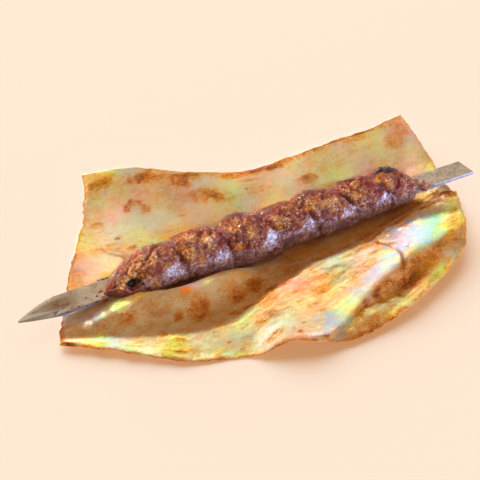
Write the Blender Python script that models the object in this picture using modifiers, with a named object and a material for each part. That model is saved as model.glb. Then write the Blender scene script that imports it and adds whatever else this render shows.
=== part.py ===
"""Minced beef kebab on a flat steel skewer, lying on a torn sheet of flatbread.

All sizes below are in millimetres; MM turns them into metres.  X runs along the skewer, from
its ground tip to its squared end, Y runs across it and +Z is up.  The flatbread lies on z = 0.
"""
import math

import bmesh
import bpy
import numpy as np

MM = 0.001

# --- driving dimensions -------------------------------------------------------------------
TOUCHING_GAP = 0.3

BLADE_WIDTH = 17.0
BLADE_THICKNESS = 2.5
BLADE_TIP_X = -180.0
BLADE_END_X = 168.0
BLADE_CENTRE_Z = 14.4
BLADE_EDGE_ROUND = 0.25
# From the point back: distance from it, half width, how far the middle lies to the back (+),
# thickness along the middle and thickness at the two ground edges.
BLADE_TIP = ((0.0, 0.6, -2.2, 0.8, 0.5), (7.0, 3.9, -1.3, 1.9, 0.5), (14.0, 6.6, -0.5, 2.4, 0.5),
             (21.0, 8.5, 0.0, 2.5, 0.9), (25.0, 8.5, 0.0, 2.5, 2.5))
GRIND_START = 0.62             # the flat middle of the tip, as a share of the half width
BLADE_STATIONS = 14            # cross-sections along the whole blade

BREAD_THICKNESS = 1.8
BREAD_CELLS = (50, 31)         # along and across the sheet
TEAR_DEPTH = 1.6               # how far the torn edges wander

MEAT_CENTRE_Z = 17.3
MEAT_RINGS = 76
MEAT_SEGMENTS = 34
TONGUE_END_X = -98.0           # left of this the mince lies on top of the blade only
TONGUE_SIDE = -5.0             # where the first end of the mince lies across the blade
LUMP_DEPTH = 0.55

# Outline of the bread in plan, as a few points of each side, front and back from left to right,
# left and right from front to back.
BREAD_FRONT = ((-162, -23), (-131, -46), (-101, -69), (-74, -78), (-47, -91), (-12, -101),
               (30, -99), (72, -87), (106, -71))
BREAD_BACK = ((-93, 130), (-57, 114), (-20, 99), (30, 86), (96, 82), (166, 79))
BREAD_LEFT = ((-162, -23), (-157, -9), (-133, 44), (-109, 88), (-97, 115), (-93, 130))
BREAD_RIGHT = ((106, -71), (127, -43), (146, -14), (153, 8), (162, 36), (166, 79))

# Waves of the bread: points (x, y, height) along each crest, then how far the wave reaches on
# the crest's left-hand and right-hand side, seen along the points.
BREAD_WAVES = (
    # back edge, high at the left, low in the middle and highest at the right corner
    (((-104, 136, 12), (-57, 116, 18), (-20, 100, 12), (16, 89, 6), (60, 86, 9),
      (110, 84, 14), (172, 81, 18)), 60, 44),
    # right-hand side behind the skewer
    (((170, 84, 17), (165, 55, 12), (161, 28, 6), (154, 6, 2)), 30, 45),
    # roll that is pressed up against the mince in front
    (((-116, -25, 2), (-97, -28, 12), (-74, -30, 16), (-50, -29, 13), (-26, -26, 4)), 12, 19),
    # knoll where the broad fold begins at the front edge
    (((-46, -104, 12), (-38, -86, 12), (-24, -68, 10)), 30, 44),
    # broad fold in front on the right, steep towards the outer edge
    (((-6, -91, 8), (16, -82, 14), (40, -73, 16.5), (62, -67, 16.5), (88, -60, 14.5),
      (118, -52, 12), (150, -44, 8)), 48, 13.5),
    # shoulder of that fold next to the mince
    (((-40, -52, 5), (-16, -46, 9), (14, -42, 10.5), (42, -40, 11), (64, -35, 11),
      (88, -29, 10.5), (112, -25, 9), (140, -20, 5)), 18, 30),
    # upturned lip outside the fold
    (((0, -106, 2), (30, -103, 7), (60, -93, 9.5), (90, -82, 11), (116, -64, 12),
      (140, -33, 9), (156, -4, 3)), 15, 25),
    # front edge on the left
    (((-170, -20, 5), (-132, -50, 5), (-108, -68, 3), (-92, -80, 1)), 20, 25),
    # left edge
    (((-160, 0, 2), (-134, 50, 2), (-114, 88, 3)), 22, 16),
)

# Humps of the mince from the tip's end on: where each begins on the back-top and on the
# front-bottom of the kebab, its radius there, and the radius in the groove where it begins.
MEAT_HUMPS = (
    # begins at x   hump radius    groove radius
    ((-130, -130), (15.6, 17.0), (13.0, 14.0)),
    ((-76, -73), (17.6, 17.0), (12.0, 13.4)),
    ((-44, -41), (18.3, 17.5), (11.2, 13.6)),
    ((-12, -4), (16.9, 15.0), (12.4, 11.0)),
    ((15, 27), (18.2, 16.0), (13.3, 11.7)),
    ((46, 60), (17.6, 14.1), (12.0, 10.8)),
    ((79, 89), (18.4, 14.3), (13.4, 10.6)),
)
MEAT_END = (119, 123)
BACK_TOP_ANGLE = math.radians(-42)      # from straight up, positive towards the front
LEFT_TAPER = 37.0
RIGHT_TAPER = 22.0


# --- helpers ------------------------------------------------------------------------------
def clear_scene():
    for old in list(bpy.data.objects):
        bpy.data.objects.remove(old, do_unlink=True)


def make_collection(name):
    collection = bpy.data.collections.new(name)
    bpy.context.scene.collection.children.link(collection)
    return collection


def make_material(name, colour, roughness, metallic=0.0):
    material = bpy.data.materials.new(name)
    material.use_nodes = True
    shader = material.node_tree.nodes["Principled BSDF"]
    shader.inputs["Base Color"].default_value = (*colour, 1.0)
    shader.inputs["Roughness"].default_value = roughness
    shader.inputs["Metallic"].default_value = metallic
    return material


def make_object(name, mesh, collection, material):
    obj = bpy.data.objects.new(name, mesh)
    collection.objects.link(obj)
    mesh.materials.append(material)
    return obj


def mesh_points(mesh):
    points = np.empty(len(mesh.vertices) * 3, dtype=np.float32)
    mesh.vertices.foreach_get("co", points)
    return points.reshape(-1, 3).astype(float)


def set_mesh_points(mesh, points):
    mesh.vertices.foreach_set("co", np.asarray(points, dtype=np.float32).ravel())
    mesh.update()


def smoothstep(low, high, value):
    """0 below low, 1 above high, and 3t^2 - 2t^3 between them."""
    t = np.clip((value - low) / (high - low), 0.0, 1.0)
    return t * t * (3.0 - 2.0 * t)


def smooth_curve(points, fractions):
    """Points at the given fractions of a Catmull-Rom curve through the given points."""
    points = np.asarray(points, dtype=float)
    steps = np.linalg.norm(np.diff(points[:, :2], axis=0), axis=1)
    knots = np.concatenate([[0.0], np.cumsum(steps)])
    position = np.asarray(fractions) * knots[-1]
    slopes = np.gradient(points, knots, axis=0)
    i = np.clip(np.searchsorted(knots, position, side="right") - 1, 0, len(knots) - 2)
    width = (knots[i + 1] - knots[i])[:, None]
    t = (position - knots[i])[:, None] / width
    return ((2 * t**3 - 3 * t**2 + 1) * points[i] + (t**3 - 2 * t**2 + t) * width * slopes[i]
            + (3 * t**2 - 2 * t**3) * points[i + 1] + (t**3 - t**2) * width * slopes[i + 1])


# --- flatbread ----------------------------------------------------------------------------
def tear(fractions, phase):
    """A small irregular in-and-out of a torn edge: three sines of unrelated lengths."""
    a = 2 * math.pi * np.asarray(fractions)
    fade = smoothstep(0.0, 0.06, fractions) * smoothstep(0.0, 0.06, 1.0 - fractions)
    wave = np.sin(5 * a + phase) + 0.7 * np.sin(11 * a + 2.3 * phase) + 0.5 * np.sin(19 * a + phase)
    return TEAR_DEPTH * 0.45 * wave * fade


def bread_plan(s, t):
    """Plan of the sheet: a Coons patch between its four sides, s along and t across it."""
    front = smooth_curve(BREAD_FRONT, s)
    back = smooth_curve(BREAD_BACK, s)
    left = smooth_curve(BREAD_LEFT, t)
    right = smooth_curve(BREAD_RIGHT, t)
    front[:, 1] += tear(s, 0.4)
    back[:, 1] += tear(s, 2.1)
    left[:, 0] += tear(t, 4.0)
    right[:, 0] += tear(t, 5.2)
    u, v = s[None, :, None], t[:, None, None]
    corners = ((1 - u) * (1 - v) * front[0] + u * (1 - v) * front[-1]
               + (1 - u) * v * back[0] + u * v * back[-1])
    return ((1 - v) * front[None] + v * back[None]
            + (1 - u) * left[:, None] + u * right[:, None] - corners)


def wave_height(x, y, crest, left_reach, right_reach):
    """Height of one wave: the crest's own, falling as half a cosine to nothing at its reach."""
    path = smooth_curve(crest, np.linspace(0.0, 1.0, 40))
    start, step = path[:-1], np.diff(path, axis=0)
    dx, dy = x[..., None] - start[:, 0], y[..., None] - start[:, 1]
    length2 = step[:, 0]**2 + step[:, 1]**2
    along = np.clip((dx * step[:, 0] + dy * step[:, 1]) / length2, 0.0, 1.0)
    off_x, off_y = dx - along * step[:, 0], dy - along * step[:, 1]
    distance = np.hypot(off_x, off_y)
    nearest = distance.argmin(axis=-1)[..., None]
    side = np.take_along_axis(step[:, 0] * dy - step[:, 1] * dx, nearest, -1)[..., 0]
    distance = np.take_along_axis(distance, nearest, -1)[..., 0]
    height = np.take_along_axis(start[:, 2] + along * step[:, 2], nearest, -1)[..., 0]
    reach = np.where(side > 0, left_reach, right_reach)
    return height * (0.5 + 0.5 * np.cos(math.pi * np.clip(distance / reach, 0.0, 1.0)))


def bread_height(x, y):
    """Underside of the sheet: the waves joined smoothly, kept clear of the kebab above."""
    blend = 3.0
    waves = [wave_height(x, y, *wave) for wave in BREAD_WAVES]
    height = sum(wave**blend for wave in waves) ** (1.0 / blend)
    clear_radius = 18.9
    below = np.sqrt(np.clip(clear_radius**2 - y**2, 0.0, None))
    room = np.clip(MEAT_CENTRE_Z - below - BREAD_THICKNESS - TOUCHING_GAP, 0.0, None)
    beside_meat = smoothstep(-140, -118, x) * smoothstep(-140, -124, -x)
    return np.where(abs(y) < clear_radius, height + np.minimum(room - height, 0) * beside_meat, height)


def make_flatbread(collection):
    """A grid laid on the plan and raised to the waves, then given its thickness upwards."""
    cells_x, cells_y = BREAD_CELLS
    mesh = bpy.data.meshes.new("flatbread")
    bm = bmesh.new()
    bmesh.ops.create_grid(bm, x_segments=cells_x, y_segments=cells_y, size=0.5)
    bm.to_mesh(mesh)
    bm.free()
    grid = mesh_points(mesh)
    column = np.rint((grid[:, 0] + 0.5) * cells_x).astype(int)
    row = np.rint((grid[:, 1] + 0.5) * cells_y).astype(int)
    plan = bread_plan(np.linspace(0, 1, cells_x + 1), np.linspace(0, 1, cells_y + 1))[row, column]
    height = bread_height(plan[:, 0], plan[:, 1])
    set_mesh_points(mesh, np.column_stack([plan[:, 0], plan[:, 1], height]) * MM)
    mesh.shade_smooth()
    bread = make_object("flatbread", mesh, collection,
                        make_material("baked_flatbread", (0.78, 0.55, 0.30), 0.8))
    solid = bread.modifiers.new("thickness", "SOLIDIFY")
    solid.thickness = BREAD_THICKNESS * MM
    solid.offset = 1.0
    solid.use_even_offset = False
    return bread


# --- skewer -------------------------------------------------------------------------------
def make_skewer(collection):
    """A flat bar of even cross-section whose tip narrows to a skewed point, ground at its edges.

    The bar is a box cut into stations along X and three strips across Y; each station takes its
    width, its place and its two thicknesses from BLADE_TIP, or the bar's own behind the tip.
    """
    mesh = bpy.data.meshes.new("skewer")
    bm = bmesh.new()
    bmesh.ops.create_cube(bm, size=1.0)
    for axis, cuts in ((0, BLADE_STATIONS - 2), (1, 2)):
        runs = [e for e in bm.edges if abs(e.verts[0].co[axis] - e.verts[1].co[axis]) > 0.5]
        bmesh.ops.subdivide_edges(bm, edges=runs, cuts=cuts, use_grid_fill=True)
    bm.to_mesh(mesh)
    bm.free()
    box = mesh_points(mesh)
    station = np.rint((box[:, 0] + 0.5) * (BLADE_STATIONS - 1)).astype(int)
    tip = np.asarray(BLADE_TIP)
    plain = BLADE_STATIONS - len(tip)
    rest = np.linspace(tip[-1, 0], BLADE_END_X - BLADE_TIP_X, plain + 1)[1:]
    behind = np.tile(tip[-1], (plain, 1))
    behind[:, 0] = rest
    back, half, middle, thick, thin = np.vstack([tip, behind])[station].T
    at_edge = abs(box[:, 1]) > 0.4
    y = middle + half * np.sign(box[:, 1]) * np.where(at_edge, 1.0, GRIND_START)
    z = BLADE_CENTRE_Z + np.sign(box[:, 2]) * np.where(at_edge, thin, thick) / 2
    set_mesh_points(mesh, np.column_stack([BLADE_TIP_X + back, y, z]) * MM)
    skewer = make_object("skewer", mesh, collection,
                         make_material("blade_steel", (0.45, 0.42, 0.38), 0.35, 1.0))
    edge = skewer.modifiers.new("edge_round", "BEVEL")
    edge.width = BLADE_EDGE_ROUND * MM
    edge.segments = 2
    edge.limit_method = "ANGLE"
    edge.angle_limit = math.radians(40)
    return skewer


# --- mince --------------------------------------------------------------------------------
def lumps(x, angle):
    """Medium unevenness of hand-pressed mince: sines that run slantwise round the kebab."""
    return (np.sin(0.47 * x + 3 * angle) * np.sin(0.31 * x - 2 * angle + 1.0)
            + 0.7 * np.sin(0.83 * x - 4 * angle + 0.6) * np.sin(0.22 * x + 5 * angle)
            + 0.5 * np.sin(1.27 * x + 6 * angle + 2.0))


def meat_radius(x, angle):
    """Radius round the axis: a rounded hump between each two slanting grooves, then tapers."""
    toward_back_top = 0.5 + 0.5 * np.cos(angle - BACK_TOP_ANGLE)

    def blend(pair):
        return pair[1] + (pair[0] - pair[1]) * toward_back_top

    radius = np.zeros_like(x)
    starts = [blend(hump[0]) for hump in MEAT_HUMPS] + [blend(MEAT_END)]
    grooves = [blend(hump[2]) for hump in MEAT_HUMPS] + [blend(MEAT_HUMPS[-1][2])]
    for i, hump in enumerate(MEAT_HUMPS):
        part = (x - starts[i]) / (starts[i + 1] - starts[i])
        inside = (part >= 0) & (part <= 1)
        w = np.clip(part, 0.0, 1.0)
        swell = (4 * w * (1 - w)) ** 0.55
        groove = grooves[i] + (grooves[i + 1] - grooves[i]) * w
        radius = np.where(inside, groove + (blend(hump[1]) - groove) * swell, radius)
    radius = radius + LUMP_DEPTH * lumps(x, angle)
    left = np.clip((x - starts[0]) / LEFT_TAPER, 0.0, 1.0)
    right = np.clip((starts[-1] - x) / RIGHT_TAPER, 0.0, 1.0)
    return radius * np.sin(left * math.pi / 2) ** 0.85 * np.sin(right * math.pi / 2)


def make_meat_body(collection):
    """A sphere drawn out along the skewer and swollen to the humps, flat where it rests."""
    mesh = bpy.data.meshes.new("minced_meat")
    bm = bmesh.new()
    bmesh.ops.create_uvsphere(bm, u_segments=MEAT_SEGMENTS, v_segments=MEAT_RINGS, radius=1.0)
    bm.to_mesh(mesh)
    bm.free()
    ball = mesh_points(mesh)
    down_axis = np.arccos(np.clip(ball[:, 2], -1.0, 1.0)) / math.pi
    angle = np.arctan2(ball[:, 1], ball[:, 0])
    toward_back_top = 0.5 + 0.5 * np.cos(angle - BACK_TOP_ANGLE)
    first = MEAT_HUMPS[0][0][0]
    last = MEAT_END[1] + (MEAT_END[0] - MEAT_END[1]) * toward_back_top
    x = first + (last - first) * down_axis
    radius = meat_radius(x, angle)
    side = TONGUE_SIDE * (1 - smoothstep(-128, TONGUE_END_X + 6, x))
    y = side - radius * np.sin(angle)
    z = MEAT_CENTRE_Z + radius * np.cos(angle)
    on_blade = BLADE_CENTRE_Z + BLADE_THICKNESS / 2 + TOUCHING_GAP
    on_bread = BREAD_THICKNESS + TOUCHING_GAP
    lowest = on_blade + (on_bread - on_blade) * smoothstep(TONGUE_END_X - 4, TONGUE_END_X + 12, x)
    z = np.maximum(z, lowest)
    set_mesh_points(mesh, np.column_stack([x, y, z]) * MM)
    mesh.shade_smooth()
    return make_object("minced_meat", mesh, collection,
                       make_material("grilled_mince", (0.20, 0.075, 0.04), 0.45))


def make_blade_slot(collection):
    """The blade's own bar with the touching gap all round, longer than the mince."""
    slot_length = BLADE_END_X - BLADE_TIP_X + 40
    mesh = bpy.data.meshes.new("blade_slot")
    bm = bmesh.new()
    bmesh.ops.create_cube(bm, size=1.0)
    bmesh.ops.scale(bm, verts=bm.verts, vec=(slot_length * MM,
                                             (BLADE_WIDTH + 2 * TOUCHING_GAP) * MM,
                                             (BLADE_THICKNESS + 2 * TOUCHING_GAP) * MM))
    bmesh.ops.translate(bm, verts=bm.verts, vec=(0.0, 0.0, BLADE_CENTRE_Z * MM))
    bm.to_mesh(mesh)
    bm.free()
    slot = bpy.data.objects.new("blade_slot", mesh)
    collection.objects.link(slot)
    slot.hide_render = True
    slot.display_type = "WIRE"
    return slot


def thread_on_blade(meat, slot):
    cut = meat.modifiers.new("blade_slot", "BOOLEAN")
    cut.operation = "DIFFERENCE"
    cut.solver = "EXACT"
    cut.object = slot


# --- placing ------------------------------------------------------------------------------
def centre_on_origin(pieces, cutters):
    """Shift every mesh so that the middle of the whole footprint is at x = y = 0."""
    graph = bpy.context.evaluated_depsgraph_get()
    low, high = np.full(3, np.inf), np.full(3, -np.inf)
    for piece in pieces:
        points = mesh_points(piece.evaluated_get(graph).to_mesh())
        low = np.minimum(low, points.min(axis=0))
        high = np.maximum(high, points.max(axis=0))
    shift = -(low + high) / 2
    shift[2] = -low[2]
    for obj in pieces + cutters:
        set_mesh_points(obj.data, mesh_points(obj.data) + shift)


def main():
    clear_scene()
    parts = make_collection("beef_kebab")
    tools = make_collection("cutters")
    bread = make_flatbread(parts)
    skewer = make_skewer(parts)
    meat = make_meat_body(parts)
    slot = make_blade_slot(tools)
    thread_on_blade(meat, slot)
    centre_on_origin([bread, skewer, meat], [slot])


main()
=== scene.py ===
"""Looks of a minced beef kebab on a flat steel skewer, lying on a torn sheet of flatbread.

Sizes are in millimetres in the kebab's own frame: X runs along the skewer from its ground tip,
Y across it to the bread's raised back edge, Z up from the surface that the bread lies on.
place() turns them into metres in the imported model's frame.
"""
import math

import bpy
import numpy as np
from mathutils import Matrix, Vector


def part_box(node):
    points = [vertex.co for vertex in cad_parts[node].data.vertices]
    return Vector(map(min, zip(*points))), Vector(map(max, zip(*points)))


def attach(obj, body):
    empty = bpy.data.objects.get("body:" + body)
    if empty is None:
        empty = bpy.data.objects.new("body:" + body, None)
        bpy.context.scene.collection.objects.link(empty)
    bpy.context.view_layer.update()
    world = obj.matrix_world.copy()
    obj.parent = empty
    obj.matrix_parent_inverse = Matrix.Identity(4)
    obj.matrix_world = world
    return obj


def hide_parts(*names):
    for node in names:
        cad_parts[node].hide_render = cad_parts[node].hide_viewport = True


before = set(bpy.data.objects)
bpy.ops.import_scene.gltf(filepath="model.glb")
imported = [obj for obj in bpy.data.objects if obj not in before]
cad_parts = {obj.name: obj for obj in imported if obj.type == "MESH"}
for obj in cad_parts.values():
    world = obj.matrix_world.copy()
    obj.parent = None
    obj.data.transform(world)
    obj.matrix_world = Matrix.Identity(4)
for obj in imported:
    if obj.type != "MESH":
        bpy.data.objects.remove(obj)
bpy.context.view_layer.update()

MM = 0.001

# --- driving dimensions, as in the CAD ---------------------------------------------------
BLADE_END_X = 168.0
BLADE_TOP_Z = 15.65
BLADE_THICKNESS = 2.5
TOUCHING_GAP = 0.3

BREAD_THICKNESS = 1.8
BREAD_FRONT = ((-162, -23), (-131, -46), (-101, -69), (-74, -78), (-47, -91), (-12, -101),
               (30, -99), (72, -87), (106, -71))
BREAD_BACK = ((-93, 130), (-57, 114), (-20, 99), (30, 86), (96, 82), (166, 79))
BREAD_LEFT = ((-162, -23), (-157, -9), (-133, 44), (-109, 88), (-97, 115), (-93, 130))
BREAD_RIGHT = ((106, -71), (127, -43), (146, -14), (153, 8), (162, 36), (166, 79))

# Waves of the bread: points (x, y, height) along each crest, then how far the wave reaches on
# the crest's left-hand and right-hand side, seen along the points.
BREAD_WAVES = (
    # back edge, high at the left, low in the middle and highest at the right corner
    (((-104, 136, 12), (-57, 116, 18), (-20, 100, 12), (16, 89, 6), (60, 86, 9),
      (110, 84, 14), (172, 81, 18)), 60, 58),
    # right-hand side behind the skewer
    (((170, 84, 17), (165, 55, 12), (161, 28, 6), (154, 6, 2)), 30, 45),
    # roll that is pressed up against the blade and the mince in front
    (((-140, -17.5, 5.5), (-128, -19.6, 9.2), (-117, -20.2, 14.6), (-106, -21.4, 17.4),
      (-92, -26, 16.8), (-76, -28, 17), (-60, -27.5, 17), (-48, -25.5, 15),
      (-37, -22.5, 10), (-26, -21, 4)), 24, 15),
    # its low, sharp start at the left edge
    (((-166, -12, 5), (-153, -15.5, 6.5), (-140, -18, 7.5), (-128, -20.5, 7), (-116, -23, 4)),
     16, 9),
    # bulge that carries the blade behind that roll
    (((-156, -6, 3), (-142, -8, 7), (-128, -9, 9.5), (-114, -12, 10.5), (-102, -15, 8),
      (-94, -19, 4)), 20, 16),
    # knoll where the broad fold begins at the front edge
    (((-46, -104, 12), (-38, -86, 12), (-24, -68, 10)), 30, 44),
    # broad fold in front on the right, steep towards the outer edge
    (((-6, -91, 8), (16, -82, 14), (40, -73, 16.5), (62, -67, 16.5), (88, -60, 14.5),
      (118, -52, 12), (150, -44, 8)), 48, 16),
    # gentler slopes at both ends of its steep side
    (((-12, -98, 3), (4, -95.5, 7), (19, -92, 9), (33, -89, 7.5)), 10, 11),
    (((64, -76, 9), (80, -70.5, 12.5), (96, -64, 13), (112, -57, 12), (128, -48, 10)), 14, 15),
    # shoulder of that fold next to the mince
    (((-40, -52, 5), (-16, -46, 9), (14, -42, 10.5), (42, -40, 11), (64, -35, 11),
      (88, -29, 10.5), (112, -24, 12), (138, -18, 10)), 18, 30),
    # upturned lip outside the fold
    (((0, -106, 2), (30, -103, 7), (60, -93, 9.5), (90, -82, 11), (116, -64, 12),
      (140, -33, 9), (156, -4, 3)), 34, 25),
    # front edge on the left
    (((-170, -20, 5), (-132, -50, 5), (-108, -68, 3), (-92, -80, 1)), 20, 25),
    # left edge
    (((-160, 0, 2), (-134, 50, 2), (-114, 88, 3)), 22, 16),
)

MEAT_CENTRE_Z = 17.3
TONGUE_END_X = -98.0
TONGUE_SIDE = -5.0
# Humps of the mince from the tip's end on: where each begins on the back-top and on the
# front-bottom of the kebab, its radius there, and the radius in the groove where it begins.
MEAT_HUMPS = (
    ((-130, -130), (15.6, 17.0), (13.0, 14.0)),
    ((-76, -73), (17.6, 17.0), (14.2, 14.6)),
    ((-44, -41), (18.3, 17.5), (11.2, 13.6)),
    ((-12, -4), (16.9, 15.0), (12.4, 11.0)),
    ((15, 27), (18.2, 16.0), (13.3, 11.7)),
    ((46, 60), (17.6, 14.1), (12.0, 10.8)),
    ((79, 89), (18.4, 14.3), (13.4, 10.6)),
)
MEAT_END = (119, 123)
BACK_TOP_ANGLE = math.radians(-42)      # from straight up, positive towards the front
LEFT_TAPER = 37.0
RIGHT_TAPER = 22.0

# --- detail of the flatbread --------------------------------------------------------------
BREAD_CELLS = (262, 168)       # along and across the sheet

# Browned spots: middle x and y, half length, half width, turn from the X axis in degrees, and
# how dark they are from 0 to 1.
SCORCH_SPOTS = (
    # back edge, from the left corner on
    (-84, 111, 9, 6, -10, 0.62), (-92, 113, 5, 4, 20, 0.6), (-79, 112, 4, 3, 0, 0.6),
    (-55, 102, 7, 7, -20, 0.62), (-60, 99, 2.6, 2.6, 0, 0.75), (-48, 108, 3, 3, 0, 0.6),
    (-31, 91, 9, 8, -20, 0.75), (-30, 89, 5, 4, 0, 0.6), (-20, 94, 8, 4, -10, 0.6),
    (12, 84, 10, 4, -8, 0.62), (30, 82, 9, 3.5, -4, 0.72), (44, 79, 9, 4, -4, 0.8),
    (62, 82, 9, 2.5, -4, 0.6), (86, 82, 12, 2.4, 0, 0.6), (104, 80, 9, 3, 0, 0.66),
    (128, 79, 12, 3, 0, 0.7), (150, 76, 9, 5, 0, 0.5), (157, 66, 5, 7, 0, 0.45),
    (146, 60, 8, 6, 10, 0.5), (144, 57, 3.5, 4, 0, 0.5), (118, 74, 14, 4, 0, 0.36),
    # behind the mince
    (-14, 69, 15, 7, -22, 0.60), (-9, 68, 6, 3.4, -10, 0.55), (62, 56, 9, 5, -16, 0.66),
    (-43, 62, 5, 2, -20, 0.4), (-101, 81, 4.5, 3, -20, 0.6), (-93, 60.5, 3.0, 1.8, 0, 0.85),
    (-98, 52, 13, 7, -25, 0.38), (-88, 46, 4.0, 3.2, 0, 0.8), (-101, 55, 4.5, 4, 0, 0.48),
    (-112, 54, 4.5, 4, 10, 0.5), (-125, 55, 5, 5, 0, 0.42), (28, 62, 9, 3, -18, 0.26),
    (74, 42, 16, 4, -10, 0.36), (-118, 30, 7, 5, 0, 0.26), (96, 66, 20, 4, -8, 0.24),
    (-116, 76, 6, 2.4, -30, 0.36), (-60, 90, 6, 2, -20, 0.3), (20, 74, 12, 2.4, -12, 0.28),
    # in front on the left
    (-77, -37, 9, 5, -5, 0.55), (-78, -40, 5, 3, 0, 0.5), (-91, -36, 3.5, 2, 0, 0.5),
    (-121, -26, 9, 2.5, -18, 0.42), (-50, -36, 7, 3, 10, 0.5), (-34, -32, 9, 4, 10, 0.5),
    (-158, -26, 5, 2.6, -50, 0.7), (-140, -34, 4, 2, -25, 0.42), (-104, -41, 3, 2, -10, 0.52),
    (-96, -50, 4, 2.2, -20, 0.66), (-103, -60, 8, 2.4, -40, 0.66), (-77, -54, 2.8, 1.6, 0, 0.45),
    (-72, -66, 2.2, 1.8, 0, 0.55), (-52, -46, 10, 2.2, -6, 0.6), (-82, -75, 2.4, 1.6, 0, 0.45),
    (-66, -74, 6, 1.6, 10, 0.5), (-58, -60, 5, 1.4, 10, 0.4), (-124, -44, 6, 1.6, -30, 0.4),
    # on the broad fold
    (-28, -41, 10, 5, 6, 0.56), (-36, -51, 9, 4, 10, 0.52), (-43, -62, 9, 3.2, 6, 0.66),
    (-48, -80, 8, 3.2, 6, 0.6), (-37, -89, 2.6, 2.4, 0, 0.7), (-23, -96, 2.0, 1.8, 0, 0.66),
    (-15, -71, 6, 2.0, 12, 0.6), (-13, -77, 3, 1.6, 0, 0.5), (-30, -83, 4, 2.0, 0, 0.42),
    (26, -61, 15, 6, 6, 0.46), (12, -66, 8, 2.6, 8, 0.46), (2, -57, 14, 3, 4, 0.36),
    (60, -47, 8, 3.0, -10, 0.46), (40, -42, 16, 3, 3, 0.46), (86, -28, 16, 2.4, 14, 0.5),
    (-2, -62, 10, 1.6, 6, 0.5), (10, -78, 4, 2, 0, 0.4), (100, -36, 5, 2.0, 0, 0.32),
    (16, -54, 12, 1.6, 4, 0.46), (34, -55, 9, 1.6, 6, 0.44), (-20, -64, 7, 1.4, 8, 0.44),
    (46, -49, 8, 1.5, 0, 0.46), (6, -50, 10, 1.6, 2, 0.42), (-18, -54, 9, 1.6, 4, 0.4),
    # on the steep outer side of the fold, where they are partly painted shade, and on its lip
    (30, -85, 18, 3.6, 10, 0.40), (62, -78, 20, 5.0, 14, 0.48), (52, -81, 8, 3.6, 10, 0.62),
    (72, -73, 6, 3.0, 20, 0.55), (88, -66, 9, 4.0, 24, 0.55), (100, -61, 6, 3, 28, 0.62),
    (113, -50, 4, 3, 0, 0.6), (8, -91, 10, 3.0, 12, 0.34), (124, -38, 7, 4, 40, 0.40),
    (44, -91, 8, 1.6, 16, 0.36), (66, -86, 8, 1.6, 20, 0.38), (20, -97, 8, 1.6, 8, 0.34),
)
# Bands that baked darker, and bands of painted shade and shadow: points (x, y) along each, half width, darkness.
TOASTED_AND_SHADED_BANDS = (
    (((-64, 104), (-40, 99), (-14, 91), (12, 86), (40, 82), (80, 82), (120, 81), (164, 78)),
     4.0, 0.40),
    (((56, -35), (66, -31), (84, -27), (100, -25), (118, -24), (134, -20)), 1.8, 0.50),
    # painted shade on the fold's steep outer side
    (((-8, -91), (14, -89), (40, -83), (62, -78), (84, -69), (104, -58), (118, -44)), 6.5, 0.36),
    (((-30, -102), (6, -100), (40, -96), (72, -84), (100, -70), (122, -46)), 1.5, 0.32),
    (((-40, -46), (-16, -42), (14, -39), (40, -36), (62, -33)), 3.0, 0.34),
    (((10, -30), (50, -25), (84, -18), (116, -14)), 8.0, 0.28),
    (((-56, -34), (-30, -30), (0, -27), (30, -25)), 7.0, 0.22),
    (((54, -40), (57, -48), (59, -57), (55, -66), (48, -75)), 1.6, 0.50),
    # painted shadow of the blade's right end on the bread: this band and the next
    (((118, -15), (128, -15), (140, -13), (156, -10)), 8.0, 0.62),
    (((110, -6), (126, -5), (144, -3)), 5.0, 0.5),
    # more painted shade on the fold's steep outer side
    (((12, -87), (32, -83), (50, -79), (66, -75)), 4.5, 0.48),
    (((-107, 56), (-103, 45), (-98, 43), (-94, 33)), 1.6, 0.50),
    (((26, -58), (44, -62), (60, -60), (74, -52)), 1.5, 0.34),
)
# Rings that burst bubbles left: middle x and y, half length, half width, turn, darkness.
SCORCH_RINGS = (
    (-70.5, 80, 8.5, 6.5, -28, 0.85), (-18, -89, 2.6, 2.4, 0, 0.70), (-78, 112, 6, 4.5, 0, 0.5),
    (58, 70, 6, 4, -20, 0.28), (-86, 47, 9, 6, 0, 0.3),
)
# Places that stayed pale, partly painted light that makes shaded bread paler on the back slope and in front of
# the mince: middle x and y, half length, half width, turn, how much.
PALE_AND_PAINTED_LIGHT_PATCHES = (
    (-66, 66, 26, 10, -24, 1.0), (-30, 58, 18, 8, -20, 1.0), (0, 78, 34, 7, -12, 0.8),
    (-110, 96, 14, 10, -20, 0.2), (-120, -46, 26, 7, -30, 0.3), (-132, -20, 22, 6, -8, 0.7),
    (-96, -24, 20, 5, -5, 0.6), (-60, -68, 24, 10, 0, 0.5), (110, 52, 20, 14, 0, 0.2),
    (30, 70, 30, 8, -12, 0.35), (132, 30, 14, 20, 0, 0.15), (-150, 10, 10, 26, 20, 0.6),
    (-116, -32, 36, 10, -15, 0.85), (-60, -34, 26, 7, 0, 0.9), (64, -89, 42, 5, 22, 0.8),
)
# Dustings of flour: middle x and y, half length, half width, turn, how thick from 0 to 1.
FLOUR_PATCHES = (
    (80, -47, 23, 14, 16, 1.0), (104, -38, 12, 8, 20, 0.85), (66, -54, 9, 8, 30, 0.9),
    (47, -63, 11, 6, 22, 0.85), (28, -72, 13, 5.5, 18, 0.75), (8, -81, 13, 6.5, 15, 0.9),
    (-10, -88, 13, 8, 10, 1.0),
    (-142, -12, 14, 5, -10, 0.2), (-120, -52, 12, 3, -35, 0.2),
)
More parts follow.
